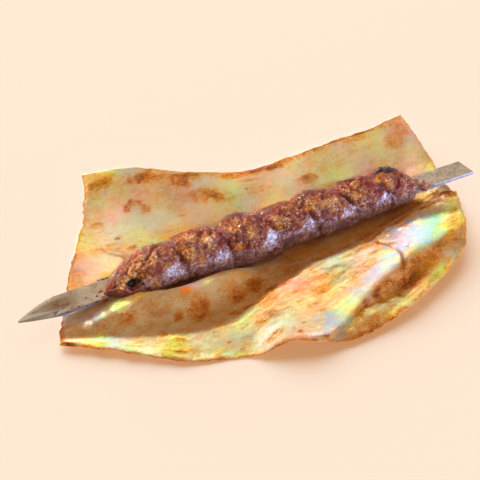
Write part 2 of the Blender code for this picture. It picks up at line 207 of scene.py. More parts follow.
# Stains of fat that ran off the mince, some of them painted light: middle x and y, half length, half width, turn,
# depth.
FAT_STAINS_AND_PAINTED_LIGHT = (
    (-64, 46, 5.5, 3.5, -20, 0.9), (-79, 65, 2.5, 2, 0, 0.5), (-114, 27, 5, 3.2, -10, 1.0),
    (-79, 51, 3, 2, 0, 0.4), (-82, -29, 5.5, 3.2, 4, 1.0), (-45, -27, 5.5, 3.0, 10, 1.0),
    (-52, 34, 9, 4, -10, 0.35), (-90, 38, 8, 4, -20, 0.4), (6, -14, 14, 4, 0, 0.5),
    # painted light: these two broad stains lift the shade under the mince's right half
    (60, -16, 34, 6, 6, 0.7), (12, -13, 18, 5, 6, 0.85),
    # the first three here paint the shade of the fold's steep outer side in warm orange
    (33, -84, 14, 4, 12, 0.7), (66, -76, 16, 5, 18, 0.7), (92, -66, 12, 5, 26, 0.5), (-56, -32, 6, 3, 0, 0.5), (-70, -31, 5, 1.4, 6, 0.4),
)
# Cracks and sharp creases: points (x, y) along each, then its half width and its depth.
BREAD_CREASES = (
    (((-109, 59), (-104, 47), (-99, 43), (-96, 35), (-93, 28)), 0.7, 1.0),
    (((4, -45), (12, -46.5), (20, -48), (30, -51)), 0.9, 0.9),
    (((30, -34), (43, -36.5), (53, -37), (60, -33), (70, -30)), 0.9, 0.8),
    (((54, -38), (57, -44), (59, -54)), 0.8, 0.9),
    (((59, -53), (58, -60), (54, -68), (48, -78)), 1.0, 1.3),
    (((-3, -8), (1, -19), (5, -28)), 0.8, 0.5),
    (((17, -2), (23, -10), (28, -18)), 0.8, 0.5),
    (((-112, -25), (-104, -30), (-96, -33), (-88, -38)), 0.9, 0.3),
    (((-20, -58), (-2, -60), (18, -60), (36, -63)), 0.8, 0.35),
    (((-60, -58), (-40, -57), (-22, -58)), 0.8, 0.3),
    (((-18, -50), (0, -52), (18, -55)), 0.8, 0.4),
    (((74, -36), (84, -37), (92, -41)), 0.7, 0.35),
    (((96, -40), (103, -44), (108, -51)), 0.7, 0.35),
    (((-52, 92), (-44, 88), (-38, 90)), 0.8, 0.3),
    (((34, -92), (50, -90), (66, -85)), 0.8, 0.35),
    (((-14, -92), (6, -90), (22, -88)), 0.8, 0.35),
)


# --- detail of the mince ------------------------------------------------------------------
MEAT_CELLS = (440, 188)        # along and around the mince
MEAT_START_X = -127.5
PIT = (-110.0, math.radians(61), 3.6, 6.0)        # x, angle, radius and depth of the burnt hole

# Creases where folds of mince meet: points (x, angle in degrees) along each, half width, depth.
MINCE_FOLDS = (
    (((-74, -34), (-84, -20), (-92, 5), (-101, 26)), 1.3, 1.5),
    (((-92, 5), (-88, 22), (-87, 44)), 1.0, 0.8),
    (((-99, -14), (-107, 4), (-112, 24)), 0.9, 0.7),
    (((-116, 30), (-121, 44), (-124, 62)), 1.0, 0.9),
    (((-62, -26), (-58, -2), (-60, 22)), 0.9, 0.8),
    (((-45, -6), (-52, 14), (-50, 36)), 0.9, 0.7),
    (((-30, -30), (-26, -8), (-31, 12)), 0.9, 0.7),
    (((-17, -9), (-15, 17), (-11, 37), (-7, 55)), 1.2, 1.2),
    (((2, -34), (-2, -14), (4, 8)), 0.9, 0.8),
    (((20, 6), (14, 26), (18, 44)), 0.9, 0.8),
    (((30, -22), (36, 0), (33, 20)), 0.9, 0.8),
    (((52, -30), (60, -12), (58, 10), (63, 34)), 1.0, 0.9),
    (((72, -20), (68, 4), (74, 24), (78, 52)), 1.1, 1.2),
    (((88, 12), (95, 28), (92, 48)), 1.0, 1.0),
    (((104, -14), (100, 12), (104, 40), (101, 66)), 1.1, 1.2),
)
# Pools of amber fat in the crust: x, angle in degrees, half length along x, half width, depth.
FAT_POOLS = (
    (-5, 43, 3.6, 2.4, 0.85), (-37, 59, 3.4, 2.2, 1.0), (81, 8, 3.4, 3.0, 0.7),
    (87, 40, 3.2, 3.2, 0.75), (33, 34, 4.2, 2.4, 0.7), (-64, 64, 2.4, 3.4, 0.7),
    (-95, 76, 3.0, 3.4, 0.75), (22, 28, 4.5, 2.4, 0.6), (58, 30, 4.0, 2.6, 0.55),
    (-72, 22, 3.0, 2.6, 0.6), (-28, 40, 3.0, 3.4, 0.5), (-88, 46, 2.0, 2.0, 0.5),
)
# Raw red, wet places: x, angle in degrees, half length along x, half width, depth.
RED_PLACES = (
    (96, 43, 5.0, 4.5, 0.95), (104, 50, 4.0, 4.0, 0.7), (72, 24, 3.0, 4.0, 0.9),
    (68, 56, 2.6, 4.0, 0.8), (75, 44, 2.0, 6.0, 0.7), (-125, 40, 3.0, 9.0, 0.95),
    (-121, 82, 5.0, 3.4, 0.95), (-114, 84, 5.0, 2.4, 0.85), (-123, 8, 3.0, 5.0, 0.8),
    (-116, -30, 5.0, 3.0, 0.5), (-91, 44, 2.6, 4.0, 0.85), (-89, 56, 2.0, 3.4, 0.7),
    (-64, 61, 3.4, 3.0, 0.9), (-59, 36, 2.4, 3.0, 0.8), (-47, 46, 2.4, 5.0, 0.6),
    (-35, 63, 5.0, 2.2, 0.9), (-40, 56, 3.0, 2.6, 0.7), (-12, 24, 3.0, 4.0, 0.6),
    (-3, 0, 4.0, 3.0, 0.6), (46, -8, 3.0, 5.0, 0.5), (112, 20, 4.0, 5.0, 0.6),
    (14, 30, 2.0, 5.0, 0.6), (45, 30, 2.0, 6.0, 0.6), (-82, 8, 3.0, 4.0, 0.5),
)
# Areas browned to gold, where the maroon gives way: x, angle, half length, half width, depth.
GOLDEN_PLACES = (
    (-112, 42, 7.0, 5.0, 0.8), (-104, 58, 7.0, 4.0, 0.8), (-77, 18, 7.0, 7.0, 1.0),
    (-70, 46, 6.0, 6.0, 0.9), (-58, 24, 7.0, 7.0, 1.0), (-34, 12, 7.0, 6.0, 0.7),
    (-26, 36, 6.0, 6.0, 0.5), (-4, 38, 7.0, 6.0, 1.0), (25, 26, 7.0, 6.0, 1.0),
    (38, 34, 5.0, 6.0, 0.7), (56, 14, 7.0, 7.0, 0.9), (62, 40, 6.0, 4.0, 0.7),
    (86, 28, 5.0, 7.0, 0.6), (-96, 20, 7.0, 7.0, 0.9), (-97, 74, 4.0, 4.0, 0.7),
    (-106, 22, 7.0, 6.0, 0.8), (-104, -8, 7.0, 6.0, 0.6), (-66, -6, 8.0, 6.0, 0.5),
)
# Where the wet sides of the mince shine lilac, with a painted bluish sheen: x, angle in degrees, half length
# along x, half width, depth.
LILAC_SHEEN_PLACES = (
    (-86, 66, 7.0, 5.0, 1.0), (-80, 86, 7.0, 4.0, 0.8), (-50, 72, 6.0, 5.0, 1.0),
    (-57, 56, 4.0, 4.0, 0.7), (-44, 92, 5.0, 4.0, 0.6), (-12, 66, 6.0, 5.0, 1.0),
    (-20, 80, 6.0, 4.0, 0.7), (19, 64, 5.0, 4.0, 0.9), (12, 78, 6.0, 4.0, 0.7),
    (26, 50, 3.0, 3.0, 0.7), (46, 68, 6.0, 4.0, 0.9), (56, 60, 5.0, 3.4, 0.9),
    (72, 76, 4.0, 4.0, 0.6), (80, 60, 6.0, 4.0, 1.0), (98, 64, 4.0, 2.6, 0.8),
    (108, 60, 6.0, 3.0, 0.9), (-64, 88, 6.0, 4.0, 0.4), (88, 78, 5.0, 4.0, 0.5),
)
# Burnt places: x, angle in degrees, half length along x, half width, depth.
BURNT_PLACES = (
    (92, -12, 5.5, 4.0, 1.0), (84, -20, 3.5, 2.4, 0.8), (101, -8, 3.5, 2.4, 0.7),
    (63, -20, 2.4, 1.8, 0.7), (-33, -30, 3.0, 1.6, 0.5), (-10, -26, 3.0, 1.5, 0.5),
    (101, 20, 1.8, 1.6, 0.6), (28, -24, 2.6, 1.4, 0.5), (-122, 58, 3.0, 1.6, 0.5),
)
# Crumbs of charred mince on the last hump and beside it: x, angle in degrees, radius.
CHAR_CRUMBS = (
    (86, -20, 1.3), (88, -15, 1.7), (89.5, -21, 1.5), (91, -12, 1.9), (92.5, -18, 1.8),
    (94, -9, 1.4), (95.5, -15, 1.7), (97, -6, 1.2), (98, -12, 1.3), (90, -5, 1.1),
    (84, -13, 1.0), (93, -23, 1.4), (100, -16, 1.1), (63, -20, 1.1), (65, -16, 0.8),
    (101, 18, 0.9), (60, -24, 0.8), (-111.0, 60, 1.7), (-108.8, 66, 1.6), (-109.8, 54, 1.4),
    (-107.0, 60, 1.2), (-112.0, 68, 1.1), (-105.0, 66, 0.9), (-103.6, 72, 0.8),
    (-113.2, 55, 0.8),
)
# Loose bits of mince at both ends: x, y, z, then their half sizes along x, y and z.
MINCE_BITS = (
    (121.5, -5.5, 17.0, 2.4, 1.9, 1.5), (124.0, -8.8, 16.4, 2.2, 1.5, 1.1),
    (126.8, -6.6, 16.2, 1.7, 1.2, 0.8), (119.5, -9.5, 16.4, 2.6, 2.2, 2.0),
    (123.4, -2.6, 16.6, 2.0, 1.6, 1.1), (128.6, -9.2, 16.0, 1.2, 0.8, 0.5),
    (121.2, 2.0, 16.6, 2.3, 1.8, 1.1), (130.6, -5.0, 15.9, 0.9, 0.7, 0.4),
    (-128.6, -7.4, 16.1, 1.6, 1.2, 0.6), (-127.6, -1.6, 16.0, 1.5, 1.1, 0.6),
)
# Drops of dried juice on the blade: x, y, then their half sizes along x and y.
JUICE_DROPS = (
    (-133.0, -9.0, 1.6, 0.8), (-131.2, -4.2, 1.0, 0.8), (-144.0, -8.0, 1.1, 0.7),
    (-148.3, -7.6, 0.7, 0.5), (-149.2, -2.4, 0.8, 0.5), (-137.4, -2.4, 0.6, 0.5),
    (-128.6, -10.4, 2.4, 0.9), (-139.6, -9.6, 0.6, 0.4), (-153.0, -5.6, 0.5, 0.4),
)
BURNT_RESIDUE = ((-122.6, 8.6, 1.9, 0.5), (-119.6, 8.8, 1.3, 0.5), (-125.2, 8.7, 0.9, 0.3))


# --- numbers on grids ---------------------------------------------------------------------
def smoothstep(low, high, value):
    """0 below low, 1 above high, and 3t^2 - 2t^3 between them."""
    t = np.clip((value - low) / (high - low), 0.0, 1.0)
    return t * t * (3.0 - 2.0 * t)


def lattice_number(i, j, k, seed):
    """A repeatable number from 0 to 1 for every whole-numbered point, by an integer hash."""
    h = (i * 374761393 + j * 668265263 + k * 1442695041 + seed * 1274126177) & 0xFFFFFFFF
    h = ((h ^ (h >> 13)) * 1274126177) & 0xFFFFFFFF
    h = ((h ^ (h >> 15)) * 2246822519) & 0xFFFFFFFF
    return ((h ^ (h >> 16)) & 0xFFFFFF) / 16777215.0


def noise(points, size, seed):
    """Smooth noise from -1 to 1: lattice numbers size apart, blended by 3t^2 - 2t^3."""
    scaled = np.asarray(points, dtype=float) / size
    cell = np.floor(scaled).astype(np.int64)
    t = scaled - cell
    t = t * t * (3.0 - 2.0 * t)
    total = np.zeros(scaled.shape[:-1])
    for a in (0, 1):
        for b in (0, 1):
            for c in (0, 1):
                share = (np.abs(1 - a - t[..., 0]) * np.abs(1 - b - t[..., 1])
                         * np.abs(1 - c - t[..., 2]))
                total += share * lattice_number(cell[..., 0] + a, cell[..., 1] + b,
                                                cell[..., 2] + c, seed)
    return 2.0 * total - 1.0


def layered_noise(points, size, layers, seed):
    """Noise of one size plus the same at half the size and half the strength, and so on."""
    return sum(noise(points, size / 2**n, seed + 17 * n) / 2**n for n in range(layers))


def grains(points, size, seed):
    """Distance to the nearest and the next scattered seed point, and the nearest one's number."""
    scaled = np.asarray(points, dtype=float) / size
    cell = np.floor(scaled).astype(np.int64)
    nearest = np.full(scaled.shape[:-1], 9.0)
    second = nearest.copy()
    number = np.zeros_like(nearest)
    for a in (-1, 0, 1):
        for b in (-1, 0, 1):
            for c in (-1, 0, 1):
                i, j, k = cell[..., 0] + a, cell[..., 1] + b, cell[..., 2] + c
                gap = np.sqrt((i + lattice_number(i, j, k, seed) - scaled[..., 0])**2
                              + (j + lattice_number(i, j, k, seed + 1) - scaled[..., 1])**2
                              + (k + lattice_number(i, j, k, seed + 2) - scaled[..., 2])**2)
                closer = gap < nearest
                second = np.where(closer, nearest, np.minimum(second, gap))
                number = np.where(closer, lattice_number(i, j, k, seed + 3), number)
                nearest = np.where(closer, gap, nearest)
    return nearest, second, number


def smooth_curve(points, fractions):
    """Points at the given fractions of a Catmull-Rom curve through the given points."""
    points = np.asarray(points, dtype=float)
    steps = np.linalg.norm(np.diff(points[:, :2], axis=0), axis=1)
    knots = np.concatenate([[0.0], np.cumsum(steps)])
    position = np.asarray(fractions) * knots[-1]
    slopes = np.gradient(points, knots, axis=0)
    i = np.clip(np.searchsorted(knots, position, side="right") - 1, 0, len(knots) - 2)
    width = (knots[i + 1] - knots[i])[:, None]
    t = (position - knots[i])[:, None] / width
    return ((2 * t**3 - 3 * t**2 + 1) * points[i] + (t**3 - 2 * t**2 + t) * width * slopes[i]
            + (3 * t**2 - 2 * t**3) * points[i + 1] + (t**3 - t**2) * width * slopes[i + 1])


def nearest_on_path(x, y, path):
    """Distance to a path in plan, which side it lies on, and the path's other value there."""
    start, step = path[:-1], np.diff(path, axis=0)
    best = np.full(x.shape, 1e9)
    side, value = np.zeros(x.shape), np.zeros(x.shape)
    for from_point, along_step in zip(start, step):
        dx, dy = x - from_point[0], y - from_point[1]
        length2 = along_step[0]**2 + along_step[1]**2
        along = np.clip((dx * along_step[0] + dy * along_step[1]) / length2, 0.0, 1.0)
        distance = np.hypot(dx - along * along_step[0], dy - along * along_step[1])
        closer = distance < best
        best = np.where(closer, distance, best)
        side = np.where(closer, along_step[0] * dy - along_step[1] * dx, side)
        value = np.where(closer, from_point[-1] + along * along_step[-1], value)
    return best, side, value


def patches(x, y, rows, wobble, ring=False):
    """Soft ovals with ragged edges: each is full inside and fades out across its rim.

    Its edge is an ellipse whose radius wobbles with noise; a ring keeps only the rim, and most
    of that on its far side.
    """
    total = np.zeros(x.shape)
    for row in rows:
        cx, cy, half_length, half_width, turn, strength = row
        c, s = math.cos(math.radians(turn)), math.sin(math.radians(turn))
        along = ((x - cx) * c + (y - cy) * s) / half_length
        across = (-(x - cx) * s + (y - cy) * c) / half_width
        away = np.hypot(along, across) + 0.46 * wobble
        if ring:
            mark = np.exp(-((away - 0.8) / 0.24)**2) * smoothstep(-0.8, 0.4, across)
            mark = mark * (0.6 + 0.4 * smoothstep(0.15, 0.6, abs(along + 0.1)))
        else:
            mark = smoothstep(0.0, 1.0, 1.5 - away) ** 1.3
        total = np.maximum(total, strength * mark)
    return total


# --- pieces and their meshes --------------------------------------------------------------
skewer_low, skewer_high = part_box("skewer")
SHIFT = np.array([skewer_high.x / MM - BLADE_END_X, (skewer_low.y + skewer_high.y) / 2 / MM, 0.0])


def place(points):
    """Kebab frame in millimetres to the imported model's frame in metres."""
    return (np.asarray(points, dtype=float) + SHIFT) * MM


def grid_faces(rows, columns, wrap=False):
    """Quads of a grid of points stored row by row; wrap joins the last column to the first."""
    row = np.arange(rows - 1)[:, None]
    column = np.arange(columns if wrap else columns - 1)[None, :]
    beside = (column + 1) % columns
    corners = (row * columns + column, row * columns + beside,
               (row + 1) * columns + beside, (row + 1) * columns + column)
    return np.stack([c.ravel() for c in corners], axis=1)


def make_piece(name, points, quads, material, values=None, triangles=None, replaces=()):
    """A smooth mesh object from arrays of points (mm), faces and named values at the points."""
    triangles = np.empty((0, 3), dtype=int) if triangles is None else triangles
    mesh = bpy.data.meshes.new(name)
    mesh.vertices.add(len(points))
    mesh.vertices.foreach_set("co", place(points).astype(np.float32).ravel())
    corners = np.concatenate([quads.ravel(), triangles.ravel()]).astype(np.int32)
    starts = np.concatenate([np.arange(len(quads)) * 4,
                             len(quads) * 4 + np.arange(len(triangles)) * 3]).astype(np.int32)
    mesh.loops.add(len(corners))
    mesh.loops.foreach_set("vertex_index", corners)
    mesh.polygons.add(len(starts))
    mesh.polygons.foreach_set("loop_start", starts)
    for label, numbers in (values or {}).items():
        store = mesh.attributes.new(label, "FLOAT", "POINT")
        store.data.foreach_set("value", np.asarray(numbers, dtype=np.float32).ravel())
    mesh.update(calc_edges=True)
    mesh.validate()
    mesh.shade_smooth()
    mesh.materials.append(material)
    piece = bpy.data.objects.new(name, mesh)
    bpy.context.scene.collection.objects.link(piece)
    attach(piece, "root")
    if replaces:
        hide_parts(*replaces)
    return piece


# --- finishes -----------------------------------------------------------------------------
class Finish:
    """One surface finish: a Principled shader and the nodes that feed it."""

    def __init__(self, name):
        self.material = bpy.data.materials.new(name)
        self.material.use_nodes = True
        self.tree = self.material.node_tree
        self.shader = self.tree.nodes["Principled BSDF"]
        self.place = self.node("ShaderNodeTexCoord").outputs["Object"]

    def node(self, kind, inputs=(), **settings):
        made = self.tree.nodes.new(kind)
        for key, value in settings.items():
            setattr(made, key, value)
        for key, value in dict(inputs).items():
            self.feed(made.inputs[key], value)
        return made

    def feed(self, socket, value):
        if isinstance(value, bpy.types.NodeSocket):
            self.tree.links.new(value, socket)
        elif isinstance(value, tuple) and len(value) == 3 and socket.type == "RGBA":
            socket.default_value = (*value, 1.0)
        else:
            socket.default_value = value

    def set(self, **sockets):
        for key, value in sockets.items():
            self.feed(self.shader.inputs[key.replace("_", " ").title().replace("Ior", "IOR")],
                      value)

    def value(self, label):
        return self.node("ShaderNodeAttribute", attribute_name=label).outputs["Fac"]

    def noise(self, scale, detail=3.0, roughness=0.55, distortion=0.0, stretch=None):
        where = self.place
        if stretch:
            where = self.node("ShaderNodeMapping", {"Vector": where, "Scale": stretch})
            where = where.outputs["Vector"]
        made = self.node("ShaderNodeTexNoise", {"Vector": where, "Scale": scale,
                                                "Detail": detail, "Roughness": roughness,
                                                "Distortion": distortion})
        return made.outputs["Fac"]

    def cells(self, scale, feature="F1", stretch=None):
        where = self.place
        if stretch:
            where = self.node("ShaderNodeMapping", {"Vector": where, "Scale": stretch})
            where = where.outputs["Vector"]
        made = self.node("ShaderNodeTexVoronoi", {"Vector": where, "Scale": scale},
                         feature=feature)
        return made.outputs["Distance"]

    def sum(self, operation, a, b=None, c=None, clamp=False):
        made = self.node("ShaderNodeMath", operation=operation, use_clamp=clamp)
        for socket, value in zip(made.inputs, (a, b, c)):
            if value is not None:
                self.feed(socket, value)
        return made.outputs["Value"]

    def fade(self, value, low, high, to_low=0.0, to_high=1.0):
        made = self.node("ShaderNodeMapRange", {"Value": value, "From Min": low,
                                                "From Max": high, "To Min": to_low,
                                                "To Max": to_high})
        return made.outputs["Result"]

    def ramp(self, value, stops):
        made = self.node("ShaderNodeValToRGB", {"Fac": value})
        rows = made.color_ramp.elements
        while len(rows) < len(stops):
            rows.new(1.0)
        for row, (position, colour) in zip(rows, stops):
            row.position = position
            row.color = (*colour, 1.0)
        return made.outputs["Color"]

    def mix(self, share, a, b, blend="MIX"):
        made = self.node("ShaderNodeMix", data_type="RGBA", blend_type=blend)
        for key, value in (("Factor_Float", share), ("A_Color", a), ("B_Color", b)):
            socket = next(s for s in made.inputs if s.identifier == key)
            self.feed(socket, value)
        return next(s for s in made.outputs if s.identifier == "Result_Color")

    def bump(self, height, distance, strength=1.0, under=None):
        inputs = {"Height": height, "Distance": distance * MM, "Strength": strength}
        if under is not None:
            inputs["Normal"] = under
        return self.node("ShaderNodeBump", inputs).outputs["Normal"]


def bread_finish():
    """Pale baked dough that goes golden, orange and dark brown with the scorch_and_painted_light values, which
    also carry painted shade and painted light.
    """
    f = Finish("baked_flatbread")
    fine = f.noise(1300, 4, 0.7)
    veins = f.noise(420, 5, 0.72, 1.2, (0.55, 1.3, 1.0))
    streaks = f.noise(230, 5, 0.7, 0.8, (0.40, 1.5, 1.0))
    crinkle = f.noise(600, 4, 0.7, 0.8, (0.5, 1.4, 1.0))
    broad = f.noise(40, 4, 0.65)
    scorch_and_painted_light = f.sum("MULTIPLY", f.value("scorch_and_painted_light"), f.fade(veins, 0.34, 0.66, 0.34, 1.60))
    scorch_and_painted_light = f.sum("MULTIPLY_ADD", f.fade(fine, 0.3, 0.7, -1, 1), 0.075, scorch_and_painted_light)
    scorch_and_painted_light = f.sum("MULTIPLY_ADD", f.fade(crinkle, 0.34, 0.66, -1, 1), 0.060, scorch_and_painted_light)
    scorch_and_painted_light = f.sum("MULTIPLY_ADD", f.fade(streaks, 0.3, 0.7, -1, 1), 0.090, scorch_and_painted_light)
    scorch_and_painted_light = f.sum("MULTIPLY_ADD", f.fade(broad, 0.3, 0.7, -1, 1), 0.05, scorch_and_painted_light)
    colour = f.ramp(scorch_and_painted_light, ((0.0, (0.92, 0.85, 0.69)), (0.10, (0.88, 0.73, 0.47)),
                             (0.20, (0.84, 0.57, 0.27)), (0.36, (0.79, 0.375, 0.080)),
                             (0.54, (0.63, 0.215, 0.022)), (0.75, (0.42, 0.110, 0.009)),
                             (0.95, (0.20, 0.045, 0.008))))
    flecks = f.fade(f.cells(800), 0.10, 0.28, 1.0, 0.0)
    flour = f.sum("MULTIPLY", f.value("flour"), f.fade(f.noise(560, 5, 0.8), 0.32, 0.54),
                  clamp=True)
    colour = f.mix(flour, colour, (0.49, 0.57, 0.83))
    colour = f.mix(f.sum("MULTIPLY", flecks, 0.32), colour, (0.50, 0.31, 0.13))
    colour = f.mix(f.sum("MULTIPLY", f.value("fat"), f.fade(crinkle, 0.30, 0.50, 0.6, 1.0),
                         clamp=True), colour, (0.86, 0.46, 0.022))
    colour = f.mix(f.sum("MULTIPLY", f.value("crack"), 0.85), colour, (0.34, 0.085, 0.012))
    dough = f.bump(streaks, 0.6, 0.6)
    crinkles = f.bump(veins, 0.36, 0.7, dough)
    ridged = f.bump(crinkle, 0.30, 0.7, crinkles)
    pores = f.bump(fine, 0.22, 0.6, ridged)
    f.set(base_color=colour, normal=pores,
          roughness=f.fade(f.value("fat"), 0.0, 1.0, 0.86, 0.30))
    f.set(subsurface_weight=0.45, subsurface_radius=(1.0, 0.42, 0.12), subsurface_scale=2.2 * MM)
    return f.material


def mince_finish():
    """Browned, greasy ground meat: golden and maroon areas, wet lilac flanks with a painted bluish sheen and
    painted glints, brown below.
    """
    f = Finish("grilled_mince")
    grain = f.noise(1050, 2, 0.6)
    curls = f.noise(380, 2, 0.6, 1.6)
    fibres = f.noise(720, 3, 0.7, 0.7)
    patchy = f.noise(230, 3, 0.62, 0.5)
    tone = f.sum("MULTIPLY_ADD", f.fade(curls, 0.36, 0.64, -1, 1), 0.17, f.value("crust"))
    tone = f.sum("MULTIPLY_ADD", f.fade(grain, 0.36, 0.64, -1, 1), 0.11, tone)
    tone = f.sum("MULTIPLY_ADD", f.fade(fibres, 0.36, 0.64, -1, 1), 0.14, tone)
    golden = f.ramp(tone, ((0.0, (0.090, 0.015, 0.004)), (0.26, (0.26, 0.052, 0.009)),
                           (0.46, (0.42, 0.125, 0.023)), (0.66, (0.70, 0.31, 0.078)),
                           (0.84, (0.95, 0.62, 0.24)), (1.0, (0.98, 0.84, 0.50))))
    maroon = f.ramp(tone, ((0.0, (0.050, 0.004, 0.001)), (0.30, (0.160, 0.014, 0.005)),
                           (0.55, (0.30, 0.047, 0.017)), (0.80, (0.58, 0.20, 0.082)),
                           (1.0, (0.90, 0.50, 0.24))))
    redness = f.sum("MULTIPLY_ADD", f.fade(patchy, 0.40, 0.60, -1, 1), 0.42, f.value("maroon"),
                    clamp=True)
    seared = f.mix(redness, golden, maroon)
    # the light end of this ramp is a painted bluish sheen on the wet sides
    flank_and_sheen = f.ramp(tone, ((0.0, (0.06, 0.012, 0.010)), (0.32, (0.21, 0.080, 0.062)),
                          (0.50, (0.44, 0.29, 0.26)), (0.66, (0.68, 0.63, 0.72)),
                          (0.9, (0.92, 0.97, 1.0))))
    below = f.ramp(tone, ((0.0, (0.030, 0.006, 0.002)), (0.4, (0.17, 0.052, 0.020)),
                          (0.75, (0.40, 0.18, 0.085)), (1.0, (0.60, 0.36, 0.20))))
    colour = f.mix(f.value("flank_and_sheen"), seared, flank_and_sheen)
    colour = f.mix(f.value("below"), colour, below)
    colour = f.mix(f.sum("MULTIPLY", f.value("red"), f.fade(fibres, 0.30, 0.50), clamp=True),
                   colour, (0.27, 0.012, 0.006))
    colour = f.mix(f.sum("MULTIPLY", f.value("fat"), f.fade(curls, 0.38, 0.56), clamp=True),
                   colour, (0.86, 0.34, 0.020))
    # Painted highlights: small warm-white glints on the crust, kept off the sides and the underside.
    painted_glints = f.sum("MULTIPLY", f.fade(f.noise(620, 2, 0.5, 0.4), 0.63, 0.68),
                  f.fade(f.noise(120, 2, 0.5), 0.47, 0.58), clamp=True)
    shade = f.sum("MAXIMUM", f.value("below"), f.value("flank_and_sheen"))
    painted_glints = f.sum("MULTIPLY", painted_glints, f.fade(shade, 0.1, 0.7, 1.0, 0.0), clamp=True)
    colour = f.mix(painted_glints, colour, (1.0, 0.76, 0.42))
    colour = f.mix(f.value("char"), colour, (0.006, 0.004, 0.004))
    wet = f.bump(f.noise(620, 1, 0.4, 0.8), 2.1, 1.0)
    pitted = f.bump(grain, 0.40, 0.9, f.bump(curls, 0.4, 0.8))
    f.set(base_color=colour, normal=pitted, specular_ior_level=0.22,
          specular_tint=(1.0, 0.72, 0.50),
          roughness=f.fade(f.noise(1000, 2, 0.5), 0.35, 0.65, 0.42, 0.80))
    f.set(coat_weight=0.82, coat_roughness=0.06)
    f.feed(f.shader.inputs["Coat Normal"], wet)
    return f.material


def char_finish():
    """Burnt crumbs: nearly black with brown where they are thin."""
    f = Finish("charred_crumbs")
    grain = f.noise(900, 3, 0.65)
    f.set(base_color=f.ramp(grain, ((0.40, (0.006, 0.005, 0.005)), (0.55, (0.022, 0.010, 0.007)),
                                    (0.72, (0.13, 0.030, 0.012)))),
          roughness=f.fade(grain, 0.4, 0.6, 0.35, 0.75), normal=f.bump(grain, 0.4, 0.9))
    return f.material


def loose_mince_finish():
    """Bits torn off the ends: red-brown, greasy, darker on their edges."""
    f = Finish("loose_mince")
    grain = f.noise(1100, 3, 0.65)
    f.set(base_color=f.ramp(grain, ((0.34, (0.05, 0.008, 0.005)), (0.5, (0.30, 0.052, 0.016)),
                                    (0.68, (0.62, 0.26, 0.13)))),
          roughness=0.42, normal=f.bump(grain, 0.4, 0.9))
    f.set(coat_weight=0.5, coat_roughness=0.12)
    return f.material


def steel_finish():
    """Old blade steel: mottled with baked-on fat and brown-stained at the ground tip, and darker towards the tip,
    that darkening partly painted shade.
    """
    f = Finish("stained_blade_steel")
    mottle = f.noise(160, 5, 0.7)
    scratches = f.noise(700, 3, 0.6, 0.0, (0.08, 1.4, 1.0))
    specks = f.noise(520, 2, 0.5)
    spot = f.node("ShaderNodeSeparateXYZ", {"Vector": f.place})
    along, aside = spot.outputs["X"], f.sum("SUBTRACT", spot.outputs["Y"], SHIFT[1] * MM)
    tip = f.fade(along, -165 * MM, -118 * MM, 1.0, 0.0)
    half_width = f.sum("MULTIPLY_ADD", along, 0.283, 0.283 * 174 * MM)
    to_edge = f.sum("SUBTRACT", half_width, f.sum("ABSOLUTE", aside))
    ground = f.sum("MULTIPLY", f.fade(to_edge, 1.6 * MM, 2.4 * MM, 1.0, 0.0),
                   f.fade(along, -147 * MM, -140 * MM, 1.0, 0.0), clamp=True)
    scald = f.sum("MULTIPLY", f.fade(f.sum("ABSOLUTE", f.sum("ADD", along, 147 * MM)), 4 * MM, 13 * MM, 1.0, 0.0),
                  f.fade(f.sum("ABSOLUTE", aside), 2.5 * MM, 6.5 * MM, 1.0, 0.0), clamp=True)
    scald = f.sum("MULTIPLY", scald, f.fade(mottle, 0.35, 0.60, 0.25, 1.0), clamp=True)
    colour = f.ramp(mottle, ((0.32, (0.29, 0.225, 0.155)), (0.5, (0.51, 0.44, 0.355)),
                             (0.68, (0.65, 0.58, 0.48))))
    # darker steel towards the tip: partly painted shade in place of the far end's brighter reflections
    dark = f.ramp(mottle, ((0.32, (0.09, 0.055, 0.030)), (0.5, (0.23, 0.175, 0.125)),
                           (0.68, (0.34, 0.29, 0.22))))
    colour = f.mix(tip, colour, dark)
    colour = f.mix(scald, colour, (0.17, 0.085, 0.035))
    colour = f.mix(f.sum("MULTIPLY", ground, 0.6), colour, (0.42, 0.38, 0.33))
    # Painted shade: a ground facet near the tip's front edge, too bright under the key, is darkened.
    step = f.sum("MULTIPLY", f.fade(f.sum("ABSOLUTE", f.sum("ADD", along, 151 * MM)),
                                    2.0 * MM, 2.8 * MM, 1.0, 0.0),
                 f.fade(aside, -5.4 * MM, -4.6 * MM, 1.0, 0.0), clamp=True)
    colour = f.mix(f.sum("MULTIPLY", step, 0.7), colour, (0.15, 0.125, 0.10))
    # Painted reflection: a thin bluish line along the blade's front edge.
    colour = f.mix(f.fade(aside, -8.45 * MM, -8.30 * MM, 0.5, 0.0), colour, (0.26, 0.38, 0.62))
    colour = f.mix(f.fade(specks, 0.62, 0.72), colour, (0.16, 0.07, 0.035))
    stained = f.sum("MULTIPLY", f.fade(f.noise(95, 4, 0.7, 0.6), 0.50, 0.62),
                    f.fade(along, -152 * MM, -112 * MM), clamp=True)
    near_mince = f.fade(along, -112 * MM, -105 * MM, 1.0, 0.0)
    colour = f.mix(f.sum("MULTIPLY", stained, near_mince), colour, (0.30, 0.15, 0.045))
    rough = f.fade(mottle, 0.3, 0.7, 0.55, 0.34)
    f.set(base_color=colour, metallic=0.55, roughness=rough,
          normal=f.bump(scratches, 0.05, 0.5, f.bump(mottle, 0.12, 0.5)))
    return f.material


def drop_finish(name, colour, deep_colour):
    """Clear wet fat or meat juice, deeper in colour where it is uneven."""
    f = Finish(name)
    f.set(base_color=f.mix(f.fade(f.noise(420, 3, 0.6), 0.35, 0.65), colour, deep_colour),
          roughness=0.16)
    f.set(coat_weight=0.6, coat_roughness=0.06)
    return f.material


